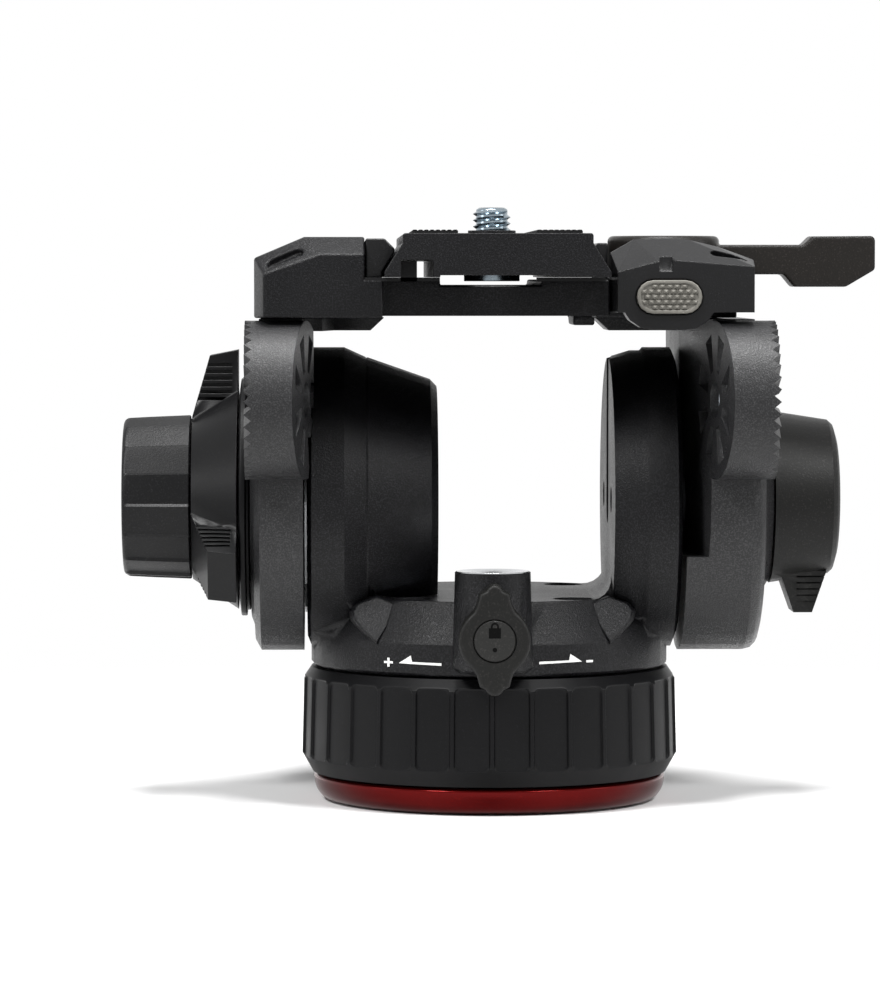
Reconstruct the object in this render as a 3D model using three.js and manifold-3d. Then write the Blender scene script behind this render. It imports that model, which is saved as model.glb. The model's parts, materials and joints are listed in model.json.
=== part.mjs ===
// Fluid video head: a flat-based pan and tilt head with a U-shaped frame, a tilting cradle with
// two rosettes, and a clamped sliding camera plate. Millimetres, +Z up. The pan axis is the Z axis,
// the base stands on Z = 0, the tilt axis runs along X, and the operator stands on the -Y side.
import * as THREE from "three";
import { mergeVertices } from "three/addons/utils/BufferGeometryUtils.js";
import { ConvexGeometry } from "three/addons/geometries/ConvexGeometry.js";
import Module from "manifold-3d";

const wasm = await Module();
wasm.setup();

// Shared values
const weldTolerance = 0.0001; // vertices closer than this are one vertex
const runningGap = 0.3; // between neighbouring pieces, moving or bolted
const cutOverrun = 3; // how far a cutter runs past the face it leaves
const fineFacets = 36;
const mediumFacets = 20;
const smallFacets = 12;
const hiddenFacets = 16; // on round pieces that nothing shows

// Base: a turned disc, a red ring pressed round it, and a threaded bush in the middle
const baseDiscRadius = 38;
const baseDiscHeight = 6.5;
const baseHubRadius = 33.5;
const baseHubHeight = 12;
const baseRingWidth = 6.75;
const baseRingRadius = baseDiscRadius + baseRingWidth;
const baseRingRound = 4.45; // how far the rounded underside draws in
const baseRingFootRadius = baseRingRadius - baseRingRound;
const baseRingHeight = baseDiscHeight + runningGap;
const baseRingLip = 1.2; // height of the flat band above the rounded underside
const baseRingTopChamfer = 0.7;
const bushRadius = 7.7;
const bushBore = 4.1;
const bushRecess = 0.4;

// Pan bearing, fluid cartridge and brake drum on the spindle
const spindleFlangeRadius = 16;
const spindleFlangeThickness = 2.5;
const spindleShoulderRadius = 9;
const spindleRadius = 7;
const spindleThreadRadius = 5;
const panBearingRadius = 13;
const panBearingHeight = 5;
const fluidCupRadius = 34.6;
const cupWall = 3;
const cupFloor = 2;
const rotorWall = 3.2;
const frictionWasherHeight = 1.9;
const thrustWasherHeight = 2;
const brakeDrumRadius = 12;
const brakeDrumHeight = 9.2;
const brakeDrumHeadroom = 0.5;

// Pan drag ring: 30 shallow panels between narrow ridges
const dragRingGap = 0.4; // above the red ring
const dragRingHeight = 26.7;
const dragRingBottom = baseRingHeight + dragRingGap;
const dragRingTop = dragRingBottom + dragRingHeight;
const dragRingWideRadius = 47.9;
const dragRingFootInset = 2.8; // how far each end and the wall draw in from the widest radius
const dragRingTaper = 0.5;
const dragRingCrownInset = 2;
const dragRingFootRadius = dragRingWideRadius - dragRingFootInset;
const dragRingUpperRadius = dragRingWideRadius - dragRingTaper;
const dragRingCrownRadius = dragRingUpperRadius - dragRingCrownInset;
const dragRingFootCone = 4.9;
const dragRingCrownCone = 2.9;
const dragRingBoreClearance = 1.4;
const dragRingBore = fluidCupRadius + dragRingBoreClearance;
const dragRingPanels = 30;
const panelDepth = 0.75;
const panelRunOut = 1.1; // height over which a panel rises to its end
const camFlangeThickness = 2.4;
const camFlangeOverlap = 2.4; // over the friction washer
const camFlangeBore = fluidCupRadius - camFlangeOverlap;
const fluidCupTop = dragRingTop - camFlangeThickness - frictionWasherHeight - 2 * runningGap;

// Frame: round column, two round arm housings about the tilt axis, and the gap between them
const skirtGap = 0.5; // above the drag ring
const skirtHeight = 7.9;
const skirtBottom = dragRingTop + skirtGap;
const skirtChamfer = 0.8;
const columnRadius = dragRingCrownRadius;
const coneBottom = skirtBottom + skirtHeight;
const coneInset = 5.4;
const coneTopRadius = columnRadius - coneInset;
const brakeDrumBottom = skirtBottom + panBearingHeight + 3 * runningGap;
const framePocketTop = brakeDrumBottom + brakeDrumHeight + brakeDrumHeadroom;
const framePocketRadius = brakeDrumRadius + 2 * runningGap;
const floorThickness = 2.7;
const frameFloor = framePocketTop + floorThickness;
const gapLeft = -31.5;
const gapRight = 30.2;
const gapCornerRadius = 5.2;
const armRadius = 38.2;
const armSink = 14; // how far the arms' rounds reach below the frame's floor
const tiltAxisHeight = frameFloor + armRadius - armSink;
const armInnerInset = 2.5; // how far the chamfer at the inner face draws in
const armInnerRadius = armRadius - armInnerInset;
const armInnerChamfer = 5.5; // its length along X
const armOuterInset = 2.7;
const armOuterRadius = armRadius - armOuterInset;
const armOuterChamfer = 1.1;
const leftArmWidth = 14.8;
const rightArmWidth = 16.8;
const leftArmOuter = gapLeft - leftArmWidth;
const rightArmOuter = gapRight + rightArmWidth;
const armStepFromGap = 8;
const rightArmStep = gapRight + armStepFromGap; // where the right arm grows by the step below
const armStepHeight = 0.8;
const armStepLength = 0.7;
// Corners of the facet between floor and arm, in shares of the arm's radius: how far into the
// arm from its inner face, half the length along Y, and the height above the floor
const gussetCornerShares = [
  [-0.0236, 0.691, 0.0157],
  [0.0942, 0.678, -0.0628],
  [-0.1466, 0.8246, -0.0366],
  [-0.0157, 0.8743, -0.2513],
];
const floorScrewX = 20.2;
const floorScrewY = 28;
const floorScrewRadius = 4.9;
const floorScrewHeadHeight = 3;
const floorScrewRecess = 4.2;
const floorScrewSocket = 2;
const floorScrewSocketDepth = 1.6;
const wallScrewRadius = 3.1;
const wallScrewY = 16.5;
const wallScrewDepth = 1.6;
const wallSlotHalfWidth = 4.2;
const wallSlotDrop = 6.9; // how far the slot's round end starts below the tilt axis
const wallSlotBottom = tiltAxisHeight - wallSlotDrop;
const wallSlotDepth = 0.9;

// Pan lock: boss with the bubble level on top, stem, brake shoe and winged knob
const lockBossX = -0.6;
const lockBossOut = 2.6; // from the column's side to the boss's axis
const lockBossY = -columnRadius - lockBossOut;
const lockBossRise = 8; // above the frame's floor
const lockBossTop = frameFloor + lockBossRise;
const lockBossRadius = 9.9;
const lockBossTaper = 0.6;
const lockBossTopRadius = lockBossRadius - lockBossTaper;
const lockBossFoot = 1.6; // above the skirt's lower edge
const lockBossBottom = skirtBottom + lockBossFoot;
const lockBossChamfer = 1.2;
const lockAxisHeight = brakeDrumBottom + brakeDrumHeight / 2;
const lockStubRadius = 8.4;
const lockStubFront = lockBossY - lockBossRadius;
const shoeRadius = 4;
const shoeTravel = 0.4;
const shoeLength = 11;
const stemInset = 0.4;
const stemRadius = shoeRadius - stemInset;
const lockKnobThickness = 6.6;
const lockKnobRadius = 8.7;
const lockKnobTopReach = 13.7;
const lockKnobBottomReach = 13.4;
const lockWingRootHalfWidth = 5;
const lockWingTipHalfWidth = 2.8;
const lockWingRoot = 6.6; // how far out from the axis the wing leaves the round body
const lockWingShoulderShare = 0.94; // of the wing's reach, where its tip starts to round
const lockKnobSideAngle = 48; // degrees of the round body, above and below the level, left bare
const lockWingTipShare = 0.7; // of the tip's width, left flat at the very end
const lockKnobBevel = 0.9;
const lockCapRadius = 5.1;
const lockCapThickness = 1.2;
const levelRim = 1; // of the boss, round the level's cup
const levelRadius = lockBossTopRadius - levelRim;
const levelDepth = 4.6;
const levelWall = 0.9;
const levelFloor = 1.2;
const windowThickness = 2.4;
const windowDome = 0.7;

// Left arm: counterbalance drum, spring, fluid cup and axle
const drumLength = 18;
const drumEnd = gapLeft + drumLength;
const drumBevel = 1.7;
const drumShoulder = drumEnd - drumBevel;
const drumTaper = 5.6; // from the arm's inner face to the drum's shoulder
const drumShoulderRadius = armInnerRadius - drumTaper;
const drumEndInset = 1.8;
const drumEndRadius = drumShoulderRadius - drumEndInset;
const drumWall = 3.5;
const drumBore = 21.5;
const armRim = 4.9; // wall round the bore of each arm
const armBoreRadius = armRadius - armRim;
const armWall = 2.8;
const axleRadius = 7;
const axleEndRadius = 5;
const tiltCupRadius = armBoreRadius - runningGap;
const tiltCupFloor = 2;
const tiltRotorWall = 2.7;
const springMeanRadius = 15;
const springWireRadius = 1.5;
const springTurns = 3.5;
const springSteps = 8; // straight pieces in one turn
const springSides = 5;

// Right arm: axle flange, brake pad and brake disc
const axleFlangeRadius = 14;
const axleFlangeThickness = 3;
const padClearance = 1;
const padInnerRadius = axleFlangeRadius + padClearance;
const padOuterRadius = 27;
const padThickness = 3.8;
const brakeDiscThickness = 3;
const brakeHubRadius = 12;

// Tilt arms of the cradle
const tiltArmLip = 0.9; // beyond the frame's round arms
const tiltArmRadius = armRadius + tiltArmLip;
const leftTiltGap = 0.9;
const leftTiltInner = leftArmOuter - leftTiltGap;
const leftTiltThickness = 12.3;
const leftTiltOuter = leftTiltInner - leftTiltThickness;
const leftTiltBevelInset = 2.7;
const leftTiltBevelRadius = tiltArmRadius - leftTiltBevelInset;
const leftTiltBevel = 1.5;
const leftFaceInset = 5.8;
const leftFaceRadius = tiltArmRadius - leftFaceInset;
const leftFaceRise = 1;
const leftFaceTop = leftTiltOuter - leftFaceRise;
const leftFaceSlope = 2.7;
const leftFaceTopRadius = leftFaceRadius - leftFaceSlope;
const rightTiltGap = 1;
const rightTiltInner = rightArmOuter + rightTiltGap;
const rightTiltThickness = 19.9;
const rightTiltOuter = rightTiltInner + rightTiltThickness;
const rightTiltRound = 3.6;
const rightHubRadius = 26.4;
const rightHubInset = 5;
const rightHubTopRadius = rightHubRadius - rightHubInset;
const rightHubRise = 3.1;
const rightHubTop = rightTiltOuter + rightHubRise;
const tiltBearingRadius = 13;
const tiltBearingWidth = 5;
const tiltBoreClearance = 1;
const tiltBore = axleRadius + tiltBoreClearance;
const footInner = 30.3; // where the foot under the platform ends
const footBevel = 3.4;
const footThickness = 3.2;
const footClearance = 4.3; // between the frame's round arms and the foot
const footHalfLength = 20;
const armTopHeight = tiltAxisHeight + armRadius + footClearance + footThickness;
const armTopFront = -40;
const armTopRear = 44;
const sideCoverSeat = leftFaceTop - runningGap;
const sideCoverSpigot = 0.9;
const sideCoverThickness = 1.7;
const sideCoverFrom = sideCoverSeat - sideCoverSpigot;
const sideCoverTo = sideCoverFrom - sideCoverThickness;
const sideCoverRadius = leftFaceTopRadius - runningGap;
const sideCoverRimInset = 2.3;
const sideCoverRimRadius = sideCoverRadius - sideCoverRimInset;
const sideCoverSeatInset = 1.5; // keeps the spigot inside the rosette's edge
const sideCoverSeatRadius = sideCoverRadius - sideCoverSeatInset;

// Rosettes on the operator's side of each tilt arm
const rosetteY = -42;
const rosetteRadius = 19.56;
const rosetteTopInset = 0.34; // below the top of the arm
const rosetteHeight = armTopHeight - rosetteRadius - rosetteTopInset;
const rosetteTeeth = 40;
const toothDepth = 1.8;
const toothInnerRadius = 11.5;
const leftRosetteProud = 1.9; // beyond each arm's outer face
const rightRosetteProud = 1.2;
const rosetteInnerInset = 2.6; // from each arm's inner face
const leftRosettePlaneInset = 0.9;
const rightRosettePlaneInset = 6.3;
const leftRosetteTip = leftTiltOuter - leftRosetteProud;
const leftRosetteInner = leftTiltInner + rosetteInnerInset;
const leftRosettePlaneX = leftTiltInner + leftRosettePlaneInset; // at the rosette's axis
const rightRosetteTip = rightTiltOuter + rightRosetteProud;
const rightRosetteInner = rightTiltInner + rosetteInnerInset;
const rightRosettePlaneX = rightTiltInner + rightRosettePlaneInset;
const rosettePlaneSlopeShare = 0.173; // inner plane's X per unit of Y
const reliefClearance = 0.5;
const reliefRadius = tiltArmRadius + reliefClearance;
const pocketCount = 8;
const pocketInnerRadius = 7.2;
const pocketOuterRadius = 16.2;
const pocketRootHalfWidth = 1.3;
const pocketRimHalfWidth = 3;
const pocketDepth = 2.6;
const insertRadius = 4.4;
const insertBore = 3.1;
const insertLength = 12;
const insertRecess = 1.2; // from the leaning inner plane

// Camera plate's width, which the platform and the jaws are built round
const plateHalfWidth = 27.2;
const plateDovetail = 4.3; // how far each side slopes in
const plateTopHalfWidth = plateHalfWidth - plateDovetail;

// Platform: left block, channel and right base
const platformBottom = armTopHeight + runningGap;
const platformHeight = 19.9;
const platformTop = platformBottom + platformHeight;
const platformFront = -50;
const platformRear = 50;
const chamferDepth = 7; // how far the sloping front and rear bands run along Y
const chamferDrop = 4.3;
const blockLeft = -59.1;
const blockSideBevel = 2.4;
const blockShoulderInset = 12.3;
const blockShoulderFlare = 4;
const blockShoulderX = blockLeft + blockShoulderInset;
const blockShoulderFrontX = blockShoulderX + blockShoulderFlare;
const blockEdgeDrop = 5.2;
const blockEdgeFrontDrop = 9.1;
const blockEdgeHeight = platformTop - blockEdgeDrop;
const blockEdgeFrontHeight = platformTop - blockEdgeFrontDrop;
const blockFromPlate = 4.8;
const blockRight = -plateHalfWidth - blockFromPlate;
const channelRise = 9.4; // above the platform's underside
const channelFloor = platformBottom + channelRise;
const channelFront = -42;
const channelLift = 0.5;
const channelUnderside = platformBottom + channelLift;
const channelShelfGap = 0.4;
const channelShelfX = -plateHalfWidth - channelShelfGap;
const bellyFootGap = 0.7; // a low boss below the channel, beside the right arm's foot
const bellyWidth = 5.4;
const bellyRight = footInner - footBevel - bellyFootGap;
const bellyLeft = bellyRight - bellyWidth;
const bellyDrop = 2.1;
const bellyBottom = platformBottom - bellyDrop;
const bellyHalfLength = 12;
const grooveLeft = -13.4;
const grooveRight = 11.5;
const grooveDepth = 1.4;
const grooveFloor = channelFloor - grooveDepth;
const rightBaseOuter = 58;
const rightBaseStep = 0.8;
const rightBaseTop = channelFloor + rightBaseStep;
const mouthHalfLength = 4.7; // of the shallow oval in each sloping front band
const mouthHalfWidth = 1.7;
const mouthDepth = 1.2;
const leftMouthInset = 7.7;
const leftMouthSetBack = 3;
const leftMouthDrop = 5.4;
const leftMouth = [
  blockLeft + leftMouthInset,
  platformFront + leftMouthSetBack,
  platformTop - leftMouthDrop,
];
const leftMouthNormalShares = [-0.35, -0.52, 0.78];

// Fixed jaw, moving jaw and the cam lever
const jawDrop = 0.4; // below the platform's top
const jawTop = platformTop - jawDrop;
const jawTopChamfer = 2.5;
const jawNoseLip = 0.7; // height of the nose's upright edge
const jawNoseHeight = jawTop - jawTopChamfer - jawNoseLip;
const jawHalfLength = 46;
const jawSideGap = 0.5;
const jawTravel = 0.5;
const movingJawDrop = 1;
const movingJawTop = jawTop - movingJawDrop;
const movingJawFoot = 1.1; // thickness of the jaw beside the plate's foot
const movingJawBack = plateHalfWidth + movingJawFoot;
const movingJawFront = -33;
const movingJawRear = 30;
const jawTongueRise = 0.4;
const jawTongueTop = channelFloor + jawTongueRise;
const jawTongueThickness = 3.6;
const jawTongueHalfWidth = 7;
const jawPocketInset = 1.7;
const jawPocketLeft = plateTopHalfWidth + jawPocketInset;
const rightBaseClearance = 0.8; // past the moving jaw at its end of travel
const rightBaseInner = movingJawBack + jawTravel + rightBaseClearance;
const leverX = 43;
const leverY = -20;
const leverHubRadius = 14;
const leverGap = 0.5; // above the right base
const leverBottom = rightBaseTop + leverGap;
const leverHubHeight = 9.6;
const leverHubTop = leverBottom + leverHubHeight;
const leverHubChamfer = 0.8;
const leverArmThickness = 7.4;
const leverArmTop = leverBottom + leverArmThickness;
const leverArmHalfWidth = 6;
const leverHandleEnd = 95.5;
const leverHandleLength = 20.2;
const leverHandleStart = leverHandleEnd - leverHandleLength;
const leverHandleDrop = 3.1;
const leverHandleBottom = leverBottom - leverHandleDrop;
const leverNeckSlope = 2.6;
const leverNeckEnd = leverHandleStart - leverNeckSlope;
const leverRiseSetBack = 2.3;
const leverRiseStart = leverHandleStart + leverRiseSetBack;
const leverRiseLength = 2.2;
const leverRiseEnd = leverRiseStart + leverRiseLength;
const leverFacetLength = 7.3;
const leverFacetStart = leverHandleEnd - leverFacetLength;
const leverFacetHeight = 4.3;
const leverFacetTop = leverHandleBottom + leverFacetHeight;
const leverTipRound = 1.2;
const camRadius = 4.5;
const camOffset = 3;
const camLength = 8;
const camSideClearance = 0.5;
const camPocketRadius = camRadius + camOffset + camSideClearance;
const camEndClearance = 1.5;
const camPocketDepth = camLength + camEndClearance;
const camTongueGap = 0.4;
const jawTongueEnd = leverX - camOffset - camRadius - camTongueGap;

// Housing round the release button on the right
const housingFront = platformFront;
const housingDepth = 14.5;
const housingRear = housingFront + housingDepth;
const housingRidgeWidth = 3.5;
const housingRidgeY = housingRear - housingRidgeWidth;
const housingFoot = 1.4; // above the platform's underside
const housingBottom = platformBottom + housingFoot;
const housingTopDrop = 0.4;
const housingTop = platformTop - housingTopDrop;
const housingFromPlate = 1.5;
const housingLeft = plateHalfWidth + housingFromPlate;
const housingWidth = 35.3;
const channelRight = housingLeft - runningGap; // where the channel meets the housing
const ridgeShares = [
  [0, 0.807],
  [0.164, 0.989],
  [0.422, 1],
  [0.55, 0.983],
  [0.751, 0.89],
  [1, 0.713],
]; // of the housing's width and height, from its lower left corner
const frontEdgeShares = [
  [0.034, 0.547],
  [0.317, 0.691],
  [0.448, 0.702],
  [0.725, 0.646],
  [0.983, 0.619],
];
const notchInset = 11.4; // a small notch in the front edge above the button
const notchLeft = housingLeft + notchInset;
const notchWidth = 3.2;
const notchRight = notchLeft + notchWidth;
const notchDepth = 2.2;
const notchDrop = 8; // below the housing's top
const humpHalfHeight = 8.1;
const humpHalfLength = 12;
const humpSetBack = 4.5;
const humpRear = housingRear - humpSetBack;
const buttonInset = 13.8;
const buttonX = housingLeft + buttonInset;
const buttonRise = 3.8;
const buttonHeight = housingBottom + buttonRise;
const buttonHalfLength = 8;
const buttonHalfHeight = 4.1;
const buttonProud = 1.6;
const buttonTravel = 2;
const buttonDepth = 5.4;
const buttonRim = 0.9;
const buttonRimHeight = 0.5;
const catchRadius = 2.2;
const catchLength = 4.2;
const catchSpringRoom = 1.65; // round the catch pin
const rightMouthInset = 6.7;
const rightMouthSetBack = 5.4;
const rightMouthDrop = 4.9;
const rightMouth = [
  housingLeft + housingWidth - rightMouthInset,
  housingFront + rightMouthSetBack,
  housingTop - rightMouthDrop,
];
const rightMouthNormalShares = [0.3, -0.34, 0.9];

// Camera plate, its pads and the camera screw
const plateGap = 0.6; // above the channel's floor
const plateBottom = channelFloor + plateGap;
const plateFoot = 1.3;
const plateShoulderRise = 8.2;
const plateShoulder = plateBottom + plateShoulderRise;
const plateThickness = 10.6;
const plateTop = plateBottom + plateThickness;
const plateHalfLength = 70;
const plateEdgeRound = 0.6;
const plateGrooveLeft = -23.3;
const plateGrooveRight = -15.6;
const plateGrooveDepth = 4.2;
const plateReliefHalfWidth = 13.9;
const plateReliefDepth = 0.5;
const screwY = -20;
const screwRadius = 4.7625; // three-eighths of an inch across
const screwProud = 6.8; // above the plate
const screwTop = plateTop + screwProud;
const screwHeadRadius = 7;
const screwHeadLift = 1; // above the groove in the platform
const screwHeadBottom = grooveFloor + screwHeadLift;
const screwHeadHeight = 4;
const screwSlotWidth = 1.6;
const screwSlotDepth = 1.4;
const plateSlotClearance = 0.1875;
const plateSlotHalfWidth = screwRadius + plateSlotClearance;
const plateSlotFront = -45;
const plateSlotRear = 45;
const plateSlotHeadClearance = 0.6;
const plateSlotHeadHalfWidth = screwHeadRadius + plateSlotHeadClearance;
const plateSlotHeadDepth = 3.8;
const padInnerX = 9.5;
const padOuterX = 20.6;
const padHeight = 0.9;
const padSeatDepth = 0.6;
const padEndInset = 6;
const padFront = padEndInset - plateHalfLength;
const padRear = plateHalfLength - padEndInset;
const collarRadius = 6;
const collarHeight = 0.8;

// Knobs on the tilt axis
const dialGap = 0.5; // beside the side cover
const dialInner = sideCoverTo - dialGap;
const dialThickness = 11.6;
const dialOuter = dialInner - dialThickness;
const dialOuterRadius = 21;
const dialFlare = 7.6;
const dialInnerRadius = dialOuterRadius + dialFlare;
const wingCount = 3;
const wingReach = 37.6;
const wingOuterDrop = 1.4;
const wingOuterReach = wingReach - wingOuterDrop;
const wingSetBack = 4.5;
const wingOuterX = dialOuter + wingSetBack;
const wingHalfWidth = 8;
const wingTipInset = 0.8;
const wingTipHalfWidth = wingHalfWidth - wingTipInset;
const wingRibCount = 6;
const wingRibPitch = 1.7;
const wingRibWidth = 0.8;
const wingRibDepth = 0.5;
const wingRibOffset = 3.9; // from the dial's outer radius to the innermost rib
const wingRibFirst = dialOuterRadius + wingRibOffset;
const wingRibInset = 1.5;
const wingRibStart = dialOuter + wingRibInset;
const wingRibEnd = dialInner - wingRibInset;
const dragKnobGap = 0.4; // beside the dial
const dragKnobInner = dialOuter - dragKnobGap;
const dragKnobLength = 17.1;
const dragKnobOuter = dragKnobInner - dragKnobLength;
const dragKnobInnerRadius = dialOuterRadius;
const dragKnobTaper = 0.7;
const dragKnobOuterRadius = dragKnobInnerRadius - dragKnobTaper;
const dragKnobRound = 1.4;
const dragKnobPanels = 16;
const dragPanelDepth = 0.55;
const dragCoreRadius = 16;
const dragCoreRecess = 0.8;
const knobEndWall = 3; // between a knob's outer end and the axle in it
const lockKnobGap = 0.4; // beside the right arm's hub
const lockKnobInner = rightHubTop + lockKnobGap;
const lockKnobLength = 14.8;
const lockKnobConeX = lockKnobInner + lockKnobLength;
const lockKnobDome = 2.3;
const lockKnobOuter = lockKnobConeX + lockKnobDome;
const lockKnobInnerRadius = 22;
const lockKnobTaper = 2.3;
const lockKnobOuterRadius = lockKnobInnerRadius - lockKnobTaper;
const lockKnobFaceRadius = 12;
const tabReach = 29.2;
const tabSetBack = 2.6;
const tabSlope = 3.3;
const tabTipSetBack = 4.2;
const tabInnerX = lockKnobInner + tabSetBack;
const tabTipX = tabInnerX + tabSlope;
const tabOuterTipX = lockKnobConeX - tabTipSetBack;
const tabHalfWidth = 8;
const tabTaperShare = 0.85; // of the tab's width and depth, left at its tip
const tabRibCount = 6;
const tabRibPitch = 1.6;
const tabRibInset = 1.5;
const tabRibFirst = lockKnobOuterRadius - tabRibInset;
const tabRibSetBack = 6.6;
const tabRibStart = lockKnobInner + tabRibSetBack;
const tabRibEnd = lockKnobOuter + tabRibInset;

// One closed solid from a three.js geometry, its faces turned outwards
function toSolid(geometry) {
  const source = geometry.index ? geometry.toNonIndexed() : geometry;
  const bare = new THREE.BufferGeometry();
  bare.setAttribute("position", source.getAttribute("position"));
  const merged = mergeVertices(bare, weldTolerance);
  const index = merged.index.array;
  const corners = [];
  for (let i = 0; i < index.length; i += 3) {
    const [a, b, c] = [index[i], index[i + 1], index[i + 2]];
    if (a !== b && b !== c && c !== a) corners.push(a, b, c);
  }
  const vertProperties = merged.attributes.position.array;
  const build = (list) =>
    new wasm.Manifold(
      new wasm.Mesh({ numProp: 3, vertProperties, triVerts: new Uint32Array(list) }),
    );
  const made = build(corners);
  return made.volume() < 0 ? build(corners.reverse()) : made;
}

const join = (...solids) => solids.flat().reduce((whole, next) => whole.add(next));
const cut = (whole, ...cutters) =>
  cutters.flat().reduce((rest, cutter) => rest.subtract(cutter), whole);

// A solid of revolution. The profile lists [radius, distance along the axis]; it starts and ends
// on the axis, or closes on itself.
function revolve(axis, profile, facets = fineFacets, centre = [0, 0, 0]) {
  const onAxis = profile[0][0] === 0;
  const loop = onAxis ? profile : [...profile, profile[0]];
  const geometry = new THREE.LatheGeometry(
    loop.map(([radius, along]) => new THREE.Vector2(radius, along)),
    facets,
  );
  if (axis === "X") geometry.rotateZ(-Math.PI / 2);
  if (axis === "Z") geometry.rotateX(Math.PI / 2);
  geometry.translate(...centre);
  return toSolid(geometry);
}

const rod = (axis, radius, from, to, facets = hiddenFacets, centre = [0, 0, 0]) =>
  revolve(axis, [[0, from], [radius, from], [radius, to], [0, to]], facets, centre);

const tube = (axis, bore, radius, from, to, facets = hiddenFacets, centre = [0, 0, 0]) =>
  revolve(axis, [[bore, from], [radius, from], [radius, to], [bore, to]], facets, centre);

// A prism: an outline of two coordinates, drawn square to the axis and run along it. The outline's
// coordinates are the other two of X, Y and Z, in that order.
function prism(axis, outline, from, to) {
  const shape = new THREE.Shape(outline.map(([a, b]) => new THREE.Vector2(a, b)));
  const geometry = new THREE.ExtrudeGeometry(shape, { depth: to - from, bevelEnabled: false });
  geometry.translate(0, 0, from);
  const [x, y, z] = [
    new THREE.Vector3(1, 0, 0),
    new THREE.Vector3(0, 1, 0),
    new THREE.Vector3(0, 0, 1),
  ];
  const frames = { X: [y, z, x], Y: [x, z, y], Z: [x, y, z] };
  geometry.applyMatrix4(new THREE.Matrix4().makeBasis(...frames[axis]));
  return toSolid(geometry);
}

const block = (x, y, z) =>
  prism("Z", [[x[0], y[0]], [x[1], y[0]], [x[1], y[1]], [x[0], y[1]]], z[0], z[1]);

const hull = (points) =>
  toSolid(new ConvexGeometry(points.map((point) => new THREE.Vector3(...point))));

// A list of points on an arc, from one angle to another in degrees
function arc(centre, radius, from, to, steps) {
  return Array.from({ length: steps + 1 }, (_, i) => {
    const angle = THREE.MathUtils.degToRad(from + ((to - from) * i) / steps);
    return [centre[0] + radius * Math.cos(angle), centre[1] + radius * Math.sin(angle)];
  });
}

// An outline whose corners, given as [a, b, radius], are rounded by arcs
function rounded(corners, steps = 5) {
  return corners.flatMap(([a, b, radius = 0], i) => {
    if (radius === 0) return [[a, b]];
    const here = new THREE.Vector2(a, b);
    const before = new THREE.Vector2(...corners.at(i - 1).slice(0, 2)).sub(here).normalize();
    const after = new THREE.Vector2(...corners[(i + 1) % corners.length].slice(0, 2))
      .sub(here)
      .normalize();
    const half = Math.acos(THREE.MathUtils.clamp(before.dot(after), -1, 1)) / 2;
    const middle = before.clone().add(after).normalize();
    const centre = here.clone().addScaledVector(middle, radius / Math.sin(half));
    const start = here.clone().addScaledVector(before, radius / Math.tan(half)).sub(centre);
    const end = here.clone().addScaledVector(after, radius / Math.tan(half)).sub(centre);
    const sweep = Math.atan2(start.cross(end), start.dot(end));
    return Array.from({ length: steps + 1 }, (_, k) => {
      const point = start.clone().rotateAround(new THREE.Vector2(), (sweep * k) / steps);
      return [centre.x + point.x, centre.y + point.y];
    });
  });
}

// The outline of a slot with round ends, along the first coordinate
function stadium(centre, halfLength, halfHeight, steps = 8) {
  const reach = halfLength - halfHeight;
  return [
    ...arc([centre[0] + reach, centre[1]], halfHeight, -90, 90, steps),
    ...arc([centre[0] - reach, centre[1]], halfHeight, 90, 270, steps),
  ];
}

// A skin over closed loops of equally many points. With "closed" the last loop meets the first, as
// on a ring; otherwise the first and last loops are capped.
function loft(loops, closed = false) {
  const count = loops[0].length;
  const points = loops.flat();
  const faces = [];
  const last = closed ? loops.length : loops.length - 1;
  for (let i = 0; i < last; i++) {
    for (let j = 0; j < count; j++) {
      const next = (j + 1) % count;
      const [low, high] = [i * count, ((i + 1) % loops.length) * count];
      faces.push(low + j, low + next, high + next, low + j, high + next, high + j);
    }
  }
  if (!closed) {
    for (const [row, flip] of [[0, true], [loops.length - 1, false]]) {
      const loop = loops[row];
      const middle = [0, 1, 2].map((k) => loop.reduce((sum, p) => sum + p[k], 0) / count);
      points.push(middle);
      for (let j = 0; j < count; j++) {
        const [a, b] = [row * count + j, row * count + ((j + 1) % count)];
        faces.push(points.length - 1, ...(flip ? [b, a] : [a, b]));
      }
    }
  }
  const geometry = new THREE.BufferGeometry();
  geometry.setAttribute("position", new THREE.Float32BufferAttribute(points.flat(), 3));
  geometry.setIndex(faces);
  return toSolid(geometry);
}

const turnedX = (solid, degrees, y = 0, z = 0) =>
  solid.translate([0, -y, -z]).rotate([degrees, 0, 0]).translate([0, y, z]);

const tiltCentre = [0, 0, tiltAxisHeight];

const aboutTilt = (profile, facets = fineFacets) => revolve("X", profile, facets, tiltCentre);

// A helical wire along X as one closed tube
function coil(centre, meanRadius, wire, turns, from, to, sides = springSides) {
  const steps = Math.round(turns * springSteps);
  const loops = Array.from({ length: steps + 1 }, (_, i) => {
    const angle = (i / springSteps) * 2 * Math.PI;
    const along = from + ((to - from) * i) / steps;
    return Array.from({ length: sides }, (_, k) => {
      const round = (k / sides) * 2 * Math.PI;
      const reach = meanRadius + wire * Math.cos(round);
      return [
        along + wire * Math.sin(round),
        centre[1] + reach * Math.cos(angle),
        centre[2] + reach * Math.sin(angle),
      ];
    });
  });
  return loft(loops);
}

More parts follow.
